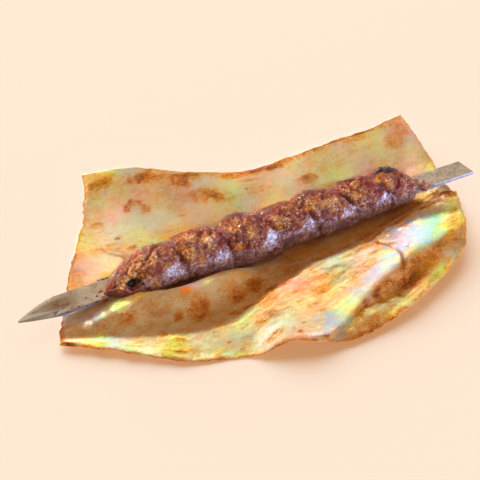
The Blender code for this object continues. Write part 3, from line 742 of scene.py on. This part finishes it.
# --- flatbread ----------------------------------------------------------------------------
def tear(fractions, phase):
    """A small irregular in-and-out of a torn edge: sines of unrelated lengths and fine noise."""
    a = 2 * math.pi * np.asarray(fractions)
    fade = smoothstep(0.0, 0.06, fractions) * smoothstep(0.0, 0.06, 1.0 - fractions)
    wave = np.sin(5 * a + phase) + 0.7 * np.sin(11 * a + 2.3 * phase) + 0.5 * np.sin(19 * a + phase)
    where = np.stack([a * 40, np.full(len(a), 10 * phase), np.zeros(len(a))], axis=1)
    return 0.35 * wave * fade + (0.55 * noise(where, 5.0, 3) + 0.4 * noise(where, 2.2, 4)) * fade


def bread_plan(s, t):
    """Plan of the sheet: a Coons patch between its four sides, s along and t across it."""
    front = smooth_curve(BREAD_FRONT, s)
    back = smooth_curve(BREAD_BACK, s)
    left = smooth_curve(BREAD_LEFT, t)
    right = smooth_curve(BREAD_RIGHT, t)
    front[:, 1] += tear(s, 0.4)
    back[:, 1] += tear(s, 2.1)
    left[:, 0] += tear(t, 4.0)
    right[:, 0] += tear(t, 5.2)
    u, v = s[None, :, None], t[:, None, None]
    corners = ((1 - u) * (1 - v) * front[0] + u * (1 - v) * front[-1]
               + (1 - u) * v * back[0] + u * v * back[-1])
    return ((1 - v) * front[None] + v * back[None]
            + (1 - u) * left[:, None] + u * right[:, None] - corners)


def bread_height(x, y):
    """Underside of the sheet: its waves joined smoothly, kept clear of the kebab above.

    A wave has its crest's height there and falls as half a cosine to nothing at its reach; the
    waves are joined by the cube root of the sum of their cubes.
    """
    total = np.zeros(x.shape)
    for crest, left_reach, right_reach in BREAD_WAVES:
        path = smooth_curve(crest, np.linspace(0.0, 1.0, 40))
        distance, side, height = nearest_on_path(x, y, path)
        reach = np.where(side > 0, left_reach, right_reach)
        wave = height * (0.5 + 0.5 * np.cos(math.pi * np.clip(distance / reach, 0.0, 1.0)))
        total += wave**3
    height = total ** (1.0 / 3.0)
    clear_radius = 18.9
    below = np.sqrt(np.clip(clear_radius**2 - y**2, 0.0, None))
    room = np.clip(MEAT_CENTRE_Z - below - BREAD_THICKNESS - TOUCHING_GAP, 0.0, None)
    beside_meat = smoothstep(-107, -93, x) * smoothstep(-140, -124, -x)
    height = np.where(abs(y) < clear_radius,
                      height + np.minimum(room - height, 0) * beside_meat, height)
    below_blade = BLADE_TOP_Z - BLADE_THICKNESS - BREAD_THICKNESS - TOUCHING_GAP
    return np.where(abs(y) < 9.5, np.minimum(height, below_blade), height)


def make_flatbread(finish):
    """The sheet: a top face with wrinkles, blisters and creases over a smoother underside.

    Both faces are the same grid of points; the top is the underside plus the thickness plus
    the relief, and a strip of faces closes the torn edge all round.
    """
    across, along = BREAD_CELLS[1] + 1, BREAD_CELLS[0] + 1
    s, t = np.linspace(0, 1, along), np.linspace(0, 1, across)
    plan = bread_plan(s, t)
    x, y = plan[..., 0], plan[..., 1]
    flat = np.stack([x, y, np.zeros_like(x)], axis=-1)
    base = bread_height(x, y)
    edge = np.minimum(np.minimum(s, 1 - s)[None] * 270, np.minimum(t, 1 - t)[:, None] * 175)
    beside_kebab = smoothstep(0.0, 8.0, abs(y) - 16) + smoothstep(0.0, 8.0, -132 - x)
    free = np.clip(beside_kebab, 0.0, 1.0)

    along_folds = flat * (0.42, 1.25, 1.0)
    swell = layered_noise(flat, 30.0, 2, 11) * 0.7
    wrinkles = 0.20 * layered_noise(along_folds, 8.5, 2, 23)
    wrinkles += 0.20 * (np.abs(layered_noise(along_folds, 15.0, 2, 31)) - 0.4)
    wrinkles += 0.21 * layered_noise(along_folds, 3.6, 2, 37)
    bubbles, _, number = grains(flat, 13.0, 41)
    blister = np.clip(1 - (bubbles / 0.42)**2, 0, 1) * (number > 0.74)

    wobble = layered_noise(flat, 5.5, 4, 51)
    spots = patches(x, y, SCORCH_SPOTS, wobble)
    rings = patches(x, y, SCORCH_RINGS, wobble * 0.6, ring=True)
    flour = patches(x, y, FLOUR_PATCHES, wobble)
    fat = patches(x, y, FAT_STAINS_AND_PAINTED_LIGHT, wobble * 0.7)
    pale = patches(x, y, PALE_AND_PAINTED_LIGHT_PATCHES, wobble)
    # Painted shade: the steep outer side of the broad fold, which faces away from the key, is made browner and
    # shows less flour.
    shaded_outer_side = smoothstep(0.30, 0.75, np.gradient(base, axis=0)) * smoothstep(-46, -58, y)
    shaded_outer_side = shaded_outer_side * smoothstep(0.0, 30.0, x)
    flour = flour * (1 - 0.9 * shaded_outer_side)
    toast_and_shade_bands = np.zeros(x.shape)
    for points, half_width, depth in TOASTED_AND_SHADED_BANDS:
        path = smooth_curve(np.column_stack([points, np.arange(len(points))]),
                            np.linspace(0.0, 1.0, 30))
        distance = nearest_on_path(x + 1.2 * wobble, y + 1.6 * wobble, path)[0]
        toast_and_shade_bands = np.maximum(toast_and_shade_bands, depth * np.exp(-(distance / half_width)**2)
                           * (0.8 + 0.55 * wobble))

    crack, groove = np.zeros(x.shape), np.zeros(x.shape)
    wander = 1.1 * noise(flat, 6.0, 61)
    for points, half_width, depth in BREAD_CREASES:
        rows = np.column_stack([np.asarray(points, dtype=float), np.arange(len(points))])
        path = smooth_curve(rows, np.linspace(0.0, 1.0, 24))
        distance, _, place_on = nearest_on_path(x + wander * 0.5, y + wander, path)
        ends = np.sin(math.pi * np.clip(place_on / (len(points) - 1), 0.04, 0.96)) ** 0.5
        width = half_width * ends
        crack = np.maximum(crack, np.clip(depth, 0, 1) * ends
                           * np.clip(1.25 - distance / (width + 0.25), 0, 1))
        groove += depth * ends * (0.45 * np.exp(-((distance - 2.6 * half_width)
                                                  / (1.8 * half_width))**2)
                                  - np.exp(-(distance / (1.1 * half_width))**2))

    mottled = layered_noise(flat, 20.0, 3, 71)
    freckle, _, freckle_number = grains(flat, 8.0, 81)
    freckles = np.clip(1.2 - freckle / 0.22, 0, 1) * (freckle_number > 0.72) * 0.5
    toasted_edge = np.clip(1 - edge / (2.6 + 1.6 * wobble), 0, 1)
    steep = np.hypot(*np.gradient(base)) * 0.5
    # Painted light: the dough is paler towards the raised back, whose slope faces away from the key, to lift its
    # shade.
    painted_light_behind = smoothstep(-8.0, 40.0, y)
    scorch_and_painted_light = 0.175 - 0.050 * painted_light_behind + 0.06 * mottled + 0.15 * np.clip(wrinkles, -0.5, 1.2)
    # paler in the pale patches, partly as painted light
    scorch_and_painted_light -= 0.13 * pale
    scorch_and_painted_light = scorch_and_painted_light + 0.06 * smoothstep(0.0, 1.0, blister)
    scorch_and_painted_light = np.maximum(scorch_and_painted_light, np.maximum(spots * (0.86 + 0.4 * wobble), rings))
    scorch_and_painted_light = np.maximum(scorch_and_painted_light, freckles * (0.6 + 0.5 * wobble))
    scorch_and_painted_light = np.maximum(scorch_and_painted_light, toast_and_shade_bands) + 0.4 * np.minimum(scorch_and_painted_light, toast_and_shade_bands)
    scorch_and_painted_light = scorch_and_painted_light + 0.20 * toasted_edge + 0.05 * np.clip(steep, 0, 1)
    # painted shade on the fold's steep outer side
    scorch_and_painted_light = scorch_and_painted_light + shaded_outer_side * (0.20 + 0.16 * wobble)
    fat = np.clip(1.5 * (fat * (0.8 + 0.5 * wobble))**2, 0, 0.95)

    relief = wrinkles * 0.85 + groove + blister * (0.5 + 0.4 * number)
    relief += 0.55 * smoothstep(0.25, 0.8, np.maximum(spots, rings)) * (0.55 + 0.45 * wobble)
    relief += 0.15 * layered_noise(flat, 2.8, 2, 91)
    under = np.maximum(base + swell * (0.25 + 0.75 * free) * smoothstep(0, 5, base) * 0.6, 0.02)
    thickness = BREAD_THICKNESS * (1 - 0.35 * smoothstep(2.5, 0.0, edge))
    top = under + thickness + relief * free * smoothstep(-1.0, 3.0, edge) + relief * (1 - free) * 0.25
    top = np.maximum(top, under + 0.7)

    count = across * along
    upper = np.stack([x, y, top], axis=-1).reshape(-1, 3)
    lower = np.stack([x, y, under], axis=-1).reshape(-1, 3)
    rim = np.concatenate([np.arange(along), np.arange(2, across) * along - 1,
                          count - 1 - np.arange(along),
                          np.arange(across - 2, 0, -1) * along])
    middle = 0.5 * (upper[rim] + lower[rim])
    outward = np.roll(middle, -1, axis=0) - np.roll(middle, 1, axis=0)
    outward = np.stack([outward[:, 1], -outward[:, 0], np.zeros(len(rim))], axis=1)
    outward /= np.linalg.norm(outward, axis=1)[:, None] + 1e-9
    middle = middle + outward * 0.45
    points = np.concatenate([upper, lower, middle])
    faces = grid_faces(across, along)
    ring_of = 2 * count + np.arange(len(rim))
    after = np.roll(np.arange(len(rim)), -1)
    skirt_top = np.stack([rim, ring_of, ring_of[after], rim[after]], axis=1)
    skirt_low = np.stack([ring_of, rim + count, rim[after] + count, ring_of[after]], axis=1)
    quads = np.concatenate([faces, faces[:, ::-1] + count, skirt_top, skirt_low])
    shared = {"scorch_and_painted_light": np.clip(scorch_and_painted_light, 0, 1), "flour": flour, "fat": fat,
              "crack": np.clip(crack, 0, 1)}
    under_values = {"scorch_and_painted_light": np.clip(0.16 + 0.1 * mottled + spots * 0.5, 0, 1),
                    "flour": 0.3 * flour, "fat": 0 * fat, "crack": 0 * crack}
    values = {}
    for key, numbers in shared.items():
        flat_top, flat_low = numbers.ravel(), under_values[key].ravel()
        values[key] = np.concatenate([flat_top, flat_low,
                                      0.5 * (flat_top[rim] + flat_low[rim])])
    return make_piece("flatbread_sheet", points, quads, finish, values,
                      replaces=("flatbread",))


# --- mince --------------------------------------------------------------------------------
def hump_blend(pair, angle):
    """From the front-bottom's value to the back-top's, as half a cosine round the kebab."""
    toward_back_top = 0.5 + 0.5 * np.cos(angle - BACK_TOP_ANGLE)
    return pair[1] + (pair[0] - pair[1]) * toward_back_top


def meat_radius(x, angle):
    """Radius round the axis, the place within its hump from 0 to 1, and the hump's number.

    Between two grooves the radius swells as (4w(1-w))^0.55; low on the front the grooves fade,
    and both ends close as a sine of the distance from the end.
    """
    radius, within, hump_number = np.zeros_like(x), np.zeros_like(x), np.zeros_like(x)
    starts = [hump_blend(hump[0], angle) for hump in MEAT_HUMPS] + [hump_blend(MEAT_END, angle)]
    grooves = [hump_blend(hump[2], angle) for hump in MEAT_HUMPS]
    grooves.append(grooves[-1])
    levelled = 0.30 + 0.52 * smoothstep(math.radians(48), math.radians(88), angle)
    levelled = levelled * smoothstep(-0.5, 0.5, angle)
    for i, hump in enumerate(MEAT_HUMPS):
        part = (x - starts[i]) / (starts[i + 1] - starts[i])
        inside = (part >= 0) & (part <= 1)
        w = np.clip(part, 0.0, 1.0)
        swell = (4 * w * (1 - w)) ** 0.55
        top = hump_blend(hump[1], angle)
        groove = grooves[i] + (grooves[i + 1] - grooves[i]) * w
        groove = top + (groove - top) * (1 - levelled)
        radius = np.where(inside, groove + (top - groove) * swell, radius)
        within = np.where(inside, w, within)
        hump_number = np.where(inside, i, hump_number)
    left = np.clip((x - MEAT_START_X) / LEFT_TAPER, 0.0, 1.0)
    right_taper = RIGHT_TAPER + 9.0 * np.clip(np.cos(angle + 0.3), 0.0, 1.0)
    right = np.clip((starts[-1] - x) / right_taper, 0.0, 1.0)
    radius = radius * np.sin(left * math.pi / 2) ** 0.72 * np.sin(right * math.pi / 2)
    return radius, within, hump_number


def meat_points(x, angle, radius):
    """Points at the given radius: the axis lies along the skewer and shifts aside at the tip."""
    side = TONGUE_SIDE * (1 - smoothstep(-128, TONGUE_END_X + 6, x))
    y = side - radius * np.sin(angle)
    z = MEAT_CENTRE_Z + radius * np.cos(angle)
    on_blade = BLADE_TOP_Z + TOUCHING_GAP
    on_bread = BREAD_THICKNESS + TOUCHING_GAP
    lowest = on_blade + (on_bread - on_blade) * smoothstep(TONGUE_END_X - 4, TONGUE_END_X + 12, x)
    return np.stack([x, y, np.maximum(z, lowest)], axis=-1)


def on_mince(x, angle, rows, wobble):
    """Soft ovals on the mince's skin, measured along x and along the arc, with ragged edges."""
    arc = np.maximum(abs(angle), 0.0) * np.sign(angle) * 16.5
    return patches(x, arc, [(cx, math.radians(degrees) * 16.5, half_length, half_width, 0, depth)
                            for cx, degrees, half_length, half_width, depth in rows], wobble)


def mince_folds(x, angle):
    """How far the skin dips along its creases: a narrow bell with a low bank on either side."""
    arc = angle * 16.5
    dip = np.zeros_like(x)
    for points, half_width, depth in MINCE_FOLDS:
        rows = np.array([(px, math.radians(degrees) * 16.5, n)
                         for n, (px, degrees) in enumerate(points)], dtype=float)
        path = smooth_curve(rows, np.linspace(0.0, 1.0, 18))
        distance, _, place_on = nearest_on_path(x, arc, path)
        ends = np.sin(math.pi * np.clip(place_on / (len(points) - 1), 0.03, 0.97)) ** 0.6
        dip = np.maximum(dip, depth * ends * np.exp(-(distance / half_width)**2))
    return dip


def make_mince(finish):
    """The mince: a tube round the skewer that swells in humps, closed by a pole at each end.

    Grains of three sizes, creases, the raised edge of the browned caps and the burnt hole are
    added to its radius.
    """
    rings, segments = MEAT_CELLS
    share = np.linspace(0.0, 1.0, rings + 1)[1:-1]
    share = 0.5 - 0.5 * np.cos(math.pi * (0.04 + 0.92 * share))
    share = (share - share[0]) / (share[-1] - share[0]) * 0.996 + 0.002
    angle = np.linspace(-math.pi, math.pi, segments, endpoint=False)
    share, angle = np.meshgrid(share, angle, indexing="ij")
    x = MEAT_START_X + (hump_blend(MEAT_END, angle) - MEAT_START_X) * share
    radius, within, hump_number = meat_radius(x, angle)
    smooth = meat_points(x, angle, radius)

    warped = smooth + 0.7 * noise(smooth, 3.5, 5)[..., None]
    fine, fine_next, tint = grains(smooth, 1.5, 101)
    large, large_next, large_tint = grains(warped, 3.6, 111)
    rough = layered_noise(smooth, 7.0, 3, 121)
    lumps = layered_noise(smooth, 15.0, 2, 131)
    torn = 1 - np.abs(layered_noise(warped, 6.5, 2, 141)) / 0.32
    groove_near = np.exp(-(np.minimum(within, 1 - within) / 0.07)**2)
    folds = mince_folds(x + 0.9 * rough, angle + 0.05 * noise(smooth, 5.0, 151))

    cap_edge = (66 - np.where(hump_number == 6, 8, 25) * smoothstep(0.58, 1.0, within)
                - 8 * smoothstep(0.25, 0.0, within))
    cap_edge = np.radians(cap_edge + 9 * rough + 5 * noise(smooth, 2.4, 161))
    past_cap = (angle - cap_edge) * 16.5
    cap = 1 - smoothstep(-1.0, 1.6, past_cap)
    low = smoothstep(1.16, 1.56, angle + 0.22 * rough - 0.20 * smoothstep(0.5, 0.9, within))
    low = low + smoothstep(-1.9, -2.3, angle)
    flank_and_sheen = np.clip(1 - cap - low, 0, 1)

    thin = smoothstep(0.0, 8.0, radius)
    relief = 0.55 * (1 - np.clip(fine, 0, 1)**2 - 0.72) + 0.95 * (1 - np.clip(large, 0, 1)**2 - 0.7)
    relief = relief * (0.65 + 0.55 * cap) + 0.65 * rough + 0.9 * lumps
    relief -= 0.55 * np.clip(torn, 0, 1)**2 * (0.4 + 0.6 * cap)
    relief -= 0.6 * groove_near * (angle > -2.2) * (1 - smoothstep(0.7, 1.3, angle)) + folds
    relief += 0.7 * cap * np.exp(-((past_cap + 1.6) / 1.6)**2) - 0.5 * (1 - cap) * (1 - low)
    pit_x, pit_angle, pit_radius, pit_depth = PIT
    from_pit = np.hypot(x - pit_x, (angle - pit_angle) * radius) / pit_radius
    hole = np.exp(-(from_pit * (1 + 0.25 * rough))**4)
    radius = np.maximum(radius + relief * thin - pit_depth * hole, 0.25)
    points = meat_points(x, angle, radius)

    # Painted shade: the crust is darkened in the crevices between grains, in torn seams, in folds and in the
    # grooves between humps.
    crevice_shade = np.clip(1.15 - (fine_next - fine) * 3.4, 0, 1) * 0.35
    crevice_shade += np.clip(1.1 - (large_next - large) * 4.0, 0, 1) * 0.35
    crevice_shade += 0.5 * np.clip(torn, 0, 1)**2 + 0.5 * np.clip(folds, 0, 1.2)
    crust = 0.56 + 0.26 * (tint - 0.5) + 0.14 * (large_tint - 0.5) + 0.10 * rough
    crust -= (0.34 * crevice_shade + 0.26 * groove_near) * (0.5 + 0.5 * cap)
    crust -= 0.13 * smoothstep(0.0, 0.9, np.cos(angle + 0.9)) * cap + 0.10 * low
    wobble = layered_noise(smooth, 3.2, 2, 171)
    edge_glow = np.exp(-((past_cap + 1.0) / 1.6)**2) * smoothstep(-0.2, 0.6, wobble)
    red = on_mince(x, angle, RED_PLACES, wobble)
    red = np.maximum(red, 0.55 * edge_glow)
    red = np.maximum(red, 0.7 * groove_near * cap * smoothstep(-0.4, 0.4, rough))
    red = np.maximum(red, 0.5 * np.clip(folds, 0, 1))
    char = np.maximum(np.clip(hole * 1.5, 0, 1), on_mince(x, angle, BURNT_PLACES, wobble))
    fat = on_mince(x, angle, FAT_POOLS, wobble)
    lilac = on_mince(x, angle, LILAC_SHEEN_PLACES, wobble)
    golden = on_mince(x, angle, GOLDEN_PLACES, wobble)
    maroon = (0.62 + 0.55 * layered_noise(smooth, 11.0, 2, 181) - 0.85 * golden
              + 0.5 * smoothstep(0.2, 0.9, np.cos(angle + 0.75)) + 0.3 * groove_near)
    # the lilac places raise the tone into the painted bluish sheen of the sides
    crust = crust + 0.14 * golden + 0.16 * lilac * (1 - cap)
    crust = crust - 0.16 * smoothstep(-116, -123, x) + 0.07 * smoothstep(-44, -62, x) * cap
    values = {"crust": np.clip(crust, 0, 1), "maroon": np.clip(maroon, 0, 1),
              "flank_and_sheen": np.clip(flank_and_sheen * (0.45 + 0.55 * lilac), 0, 1) * (1 - char),
              "below": np.clip(low, 0, 1), "red": np.clip(red, 0, 0.9),
              "char": np.clip(char * (0.75 + 0.5 * wobble), 0, 1), "fat": fat}

    rows, columns = x.shape
    body = points.reshape(-1, 3)
    ends = np.array([[MEAT_START_X, *points[0].mean(axis=0)[1:]],
                     [x[-1].mean() + 0.5, *points[-1].mean(axis=0)[1:]]])
    all_points = np.concatenate([body, ends])
    around = np.arange(columns)
    beside = (around + 1) % columns
    last = (rows - 1) * columns
    caps = np.concatenate([
        np.stack([np.full(columns, rows * columns), around, beside], axis=1),
        np.stack([np.full(columns, rows * columns + 1), last + beside, last + around], axis=1)])
    quads = grid_faces(rows, columns, wrap=True)[:, ::-1]
    values = {key: np.concatenate([v.ravel(), v[0].mean(keepdims=True), v[-1].mean(keepdims=True)])
              for key, v in values.items()}
    mince = make_piece("kebab_mince", all_points, quads, finish, values,
                       triangles=caps, replaces=("minced_meat",))
    return mince, (x, angle, points)


# --- crumbs, bits and drops ---------------------------------------------------------------
def make_lumps(name, centres, sizes, ragged, finish, slot, seed, floor_z=None):
    """Small closed lumps: balls in latitude and longitude, stretched, turned rough by noise.

    Each point is centre + half size * direction * (1 + ragged * noise); with floor_z nothing
    goes below that height.
    """
    rings, columns = 7, 10
    down = np.pi * np.arange(1, rings) / rings
    turn = 2 * np.pi * np.arange(columns) / columns
    down, turn = np.meshgrid(down, turn, indexing="ij")
    ways = np.stack([np.sin(down) * np.cos(turn), np.sin(down) * np.sin(turn), np.cos(down)],
                    axis=-1).reshape(-1, 3)
    ways = np.concatenate([ways, [[0, 0, 1], [0, 0, -1]]])
    centres, sizes = np.asarray(centres, dtype=float), np.asarray(sizes, dtype=float)
    reach = centres[:, None] + ways[None] * sizes[:, None]
    swell = 1 + ragged * layered_noise(reach + 31.0 * np.arange(len(centres))[:, None, None],
                                       1.5, 2, seed)
    points = centres[:, None] + ways[None] * sizes[:, None] * swell[..., None]
    if floor_z is not None:
        points[..., 2] = np.maximum(points[..., 2], floor_z)
    count = len(ways)
    around = np.arange(columns)
    beside = (around + 1) % columns
    last = (rings - 2) * columns
    quads = grid_faces(rings - 1, columns, wrap=True)[:, ::-1]
    caps = np.concatenate([np.stack([np.full(columns, count - 2), around, beside], axis=1),
                           np.stack([np.full(columns, count - 1), last + beside, last + around],
                                    axis=1)])
    shift = count * np.arange(len(centres))[:, None, None]
    return make_piece(name, points.reshape(-1, 3), (quads[None] + shift).reshape(-1, 4), finish,
                      triangles=(caps[None] + shift).reshape(-1, 3))


def make_crumbs_and_drops(skin):
    """Charred crumbs on the mince's skin, loose bits at its ends, and juice on the blade."""
    x, angle, points = skin
    spots = np.array(CHAR_CRUMBS)
    away = np.hypot(x.ravel()[None] - spots[:, :1],
                    (angle.ravel()[None] - np.radians(spots[:, 1:2])) * 16.5)
    on_skin = points.reshape(-1, 3)[away.argmin(axis=1)]
    size = spots[:, 2:] * np.array([1.15, 1.0, 0.85])
    bits, drops = np.array(MINCE_BITS), np.array(JUICE_DROPS)
    residue = np.array(BURNT_RESIDUE)
    charred = char_finish()
    juice = drop_finish("meat_juice", (0.16, 0.012, 0.006), (0.05, 0.006, 0.004))

    def on_blade(rows, half_height):
        """Middles and half sizes of flat lumps that lie on the blade."""
        level = np.full((len(rows), 1), BLADE_TOP_Z)
        return (np.hstack([rows[:, :2], level]),
                np.hstack([rows[:, 2:], np.full((len(rows), 1), half_height)]))

    return (
        make_lumps("char_crumbs", on_skin + (0, 0, 0.3), size, 0.5, charred, "meat", 201),
        make_lumps("mince_bits", bits[:, :3], bits[:, 3:], 0.45, loose_mince_finish(), "meat",
                   211, BLADE_TOP_Z + 0.02),
        make_lumps("juice_drops", *on_blade(drops, 0.45), 0.35, juice, "meat", 221,
                   BLADE_TOP_Z + 0.01),
        make_lumps("burnt_residue", *on_blade(residue, 0.8), 0.5, charred, "meat", 231,
                   BLADE_TOP_Z + 0.01),
    )


# --- camera, light and floor --------------------------------------------------------------
LOOK_AT = (-16.0, 23.0, -2.5)
CAMERA_DISTANCE = 550.0
CAMERA_AZIMUTH = math.radians(-28.7)
CAMERA_ELEVATION = math.radians(38.0)
CAMERA_LENS = 58.2
KEY_TRAVEL = (10.5, -17.0, -12.0)
COOL_TRAVEL = (-0.74, 0.62, -0.16)


def aim(obj, direction):
    """Turns an object so that its -Z axis points along the direction."""
    obj.rotation_euler = Vector(direction).to_track_quat("-Z", "Y").to_euler()


def make_camera():
    """The camera looks at a point near the middle from the front left and above."""
    ca, sa = math.cos(CAMERA_AZIMUTH), math.sin(CAMERA_AZIMUTH)
    ce, se = math.cos(CAMERA_ELEVATION), math.sin(CAMERA_ELEVATION)
    back = np.array([sa * ce, -ca * ce, se])
    data = bpy.data.cameras.new("camera")
    data.lens = CAMERA_LENS
    data.sensor_width = 36.0
    data.clip_start, data.clip_end = 0.01, 10.0
    camera = bpy.data.objects.new("camera", data)
    bpy.context.scene.collection.objects.link(camera)
    camera.location = place(np.array(LOOK_AT) + back * CAMERA_DISTANCE)
    aim(camera, -back)
    bpy.context.scene.camera = camera


def make_light(name, kind, strength, colour, direction):
    """A sun or a square soft light that sends its light in one direction."""
    data = bpy.data.lights.new(name, kind)
    data.energy = strength
    data.color = colour
    lamp = bpy.data.objects.new(name, data)
    bpy.context.scene.collection.objects.link(lamp)
    aim(lamp, Vector(direction).normalized())
    return lamp


def linked(label, pieces):
    """A collection that a light reaches, or that throws its shadows."""
    group = bpy.data.collections.new(label)
    for piece in pieces:
        group.objects.link(piece)
    return group


def make_stage(bread, mince, skewer, small):
    """A wide pale floor and four lights.

    The key comes low from the back left. The thin blade throws no hard bar of its shade across
    the bread, and the floor has a light of its own, so wide that the shade under the bread's
    edge is soft. A cool light glints on the wet mince, and a warm one stands for what the floor
    throws back at the bread's outer faces.
    """
    half = 3.0
    corners = np.array([[-half, -half, 0], [half, -half, 0], [half, half, 0], [-half, half, 0]])
    mesh = bpy.data.meshes.new("floor")
    mesh.from_pydata((corners - (0, 0, 0.0003)).tolist(), [], [(0, 1, 2, 3)])
    f = Finish("pale_floor")
    f.set(base_color=(0.587, 0.653, 0.668), roughness=0.95)
    f.set(emission_color=(0.34, 0.155, 0.075), emission_strength=1.0)
    mesh.materials.append(f.material)
    floor = bpy.data.objects.new("floor", mesh)
    bpy.context.scene.collection.objects.link(floor)

    key = make_light("key", "SUN", 6.0, (1.0, 0.96, 0.86), KEY_TRAVEL)
    key.data.angle = math.radians(5.0)
    key.light_linking.receiver_collection = linked("lit_pieces", [bread, mince, skewer, *small])
    key.light_linking.blocker_collection = linked("shading_pieces", [bread, mince, small[0]])
    cool = make_light("cool_fill", "AREA", 8.2, (0.46, 0.60, 1.0), COOL_TRAVEL)
    cool.location = -Vector(COOL_TRAVEL).normalized() * 0.8
    cool.data.size = 0.16
    cool.visible_camera = False
    cool.light_linking.receiver_collection = linked("wet_pieces", [mince, skewer, *small])
    bounce = make_light("floor_bounce", "SUN", 1.5, (1.0, 0.94, 0.88), (-0.85, 0.50, -0.07))
    bounce.data.angle = math.radians(14.0)
    bounce.light_linking.receiver_collection = linked("dry_pieces", [bread])
    soft = make_light("floor_light", "SUN", 3.4, (1.0, 0.97, 0.93), (0.02, -0.66, -0.72))
    soft.data.angle = math.radians(75.0)
    soft.light_linking.receiver_collection = linked("floor_only", [floor])
    soft.light_linking.blocker_collection = key.light_linking.blocker_collection

    world = bpy.data.worlds.new("surround")
    world.use_nodes = True
    background = world.node_tree.nodes["Background"]
    background.inputs["Color"].default_value = (1.0, 0.63, 0.30, 1.0)
    background.inputs["Strength"].default_value = 0.345
    bpy.context.scene.world = world
    bpy.context.scene.view_settings.view_transform = "Standard"


def main():
    bread = make_flatbread(bread_finish())
    mince, skin = make_mince(mince_finish())
    small = make_crumbs_and_drops(skin)
    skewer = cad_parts["skewer"]
    skewer.data.materials.clear()
    skewer.data.materials.append(steel_finish())
    make_camera()
    make_stage(bread, mince, skewer, small)


main()
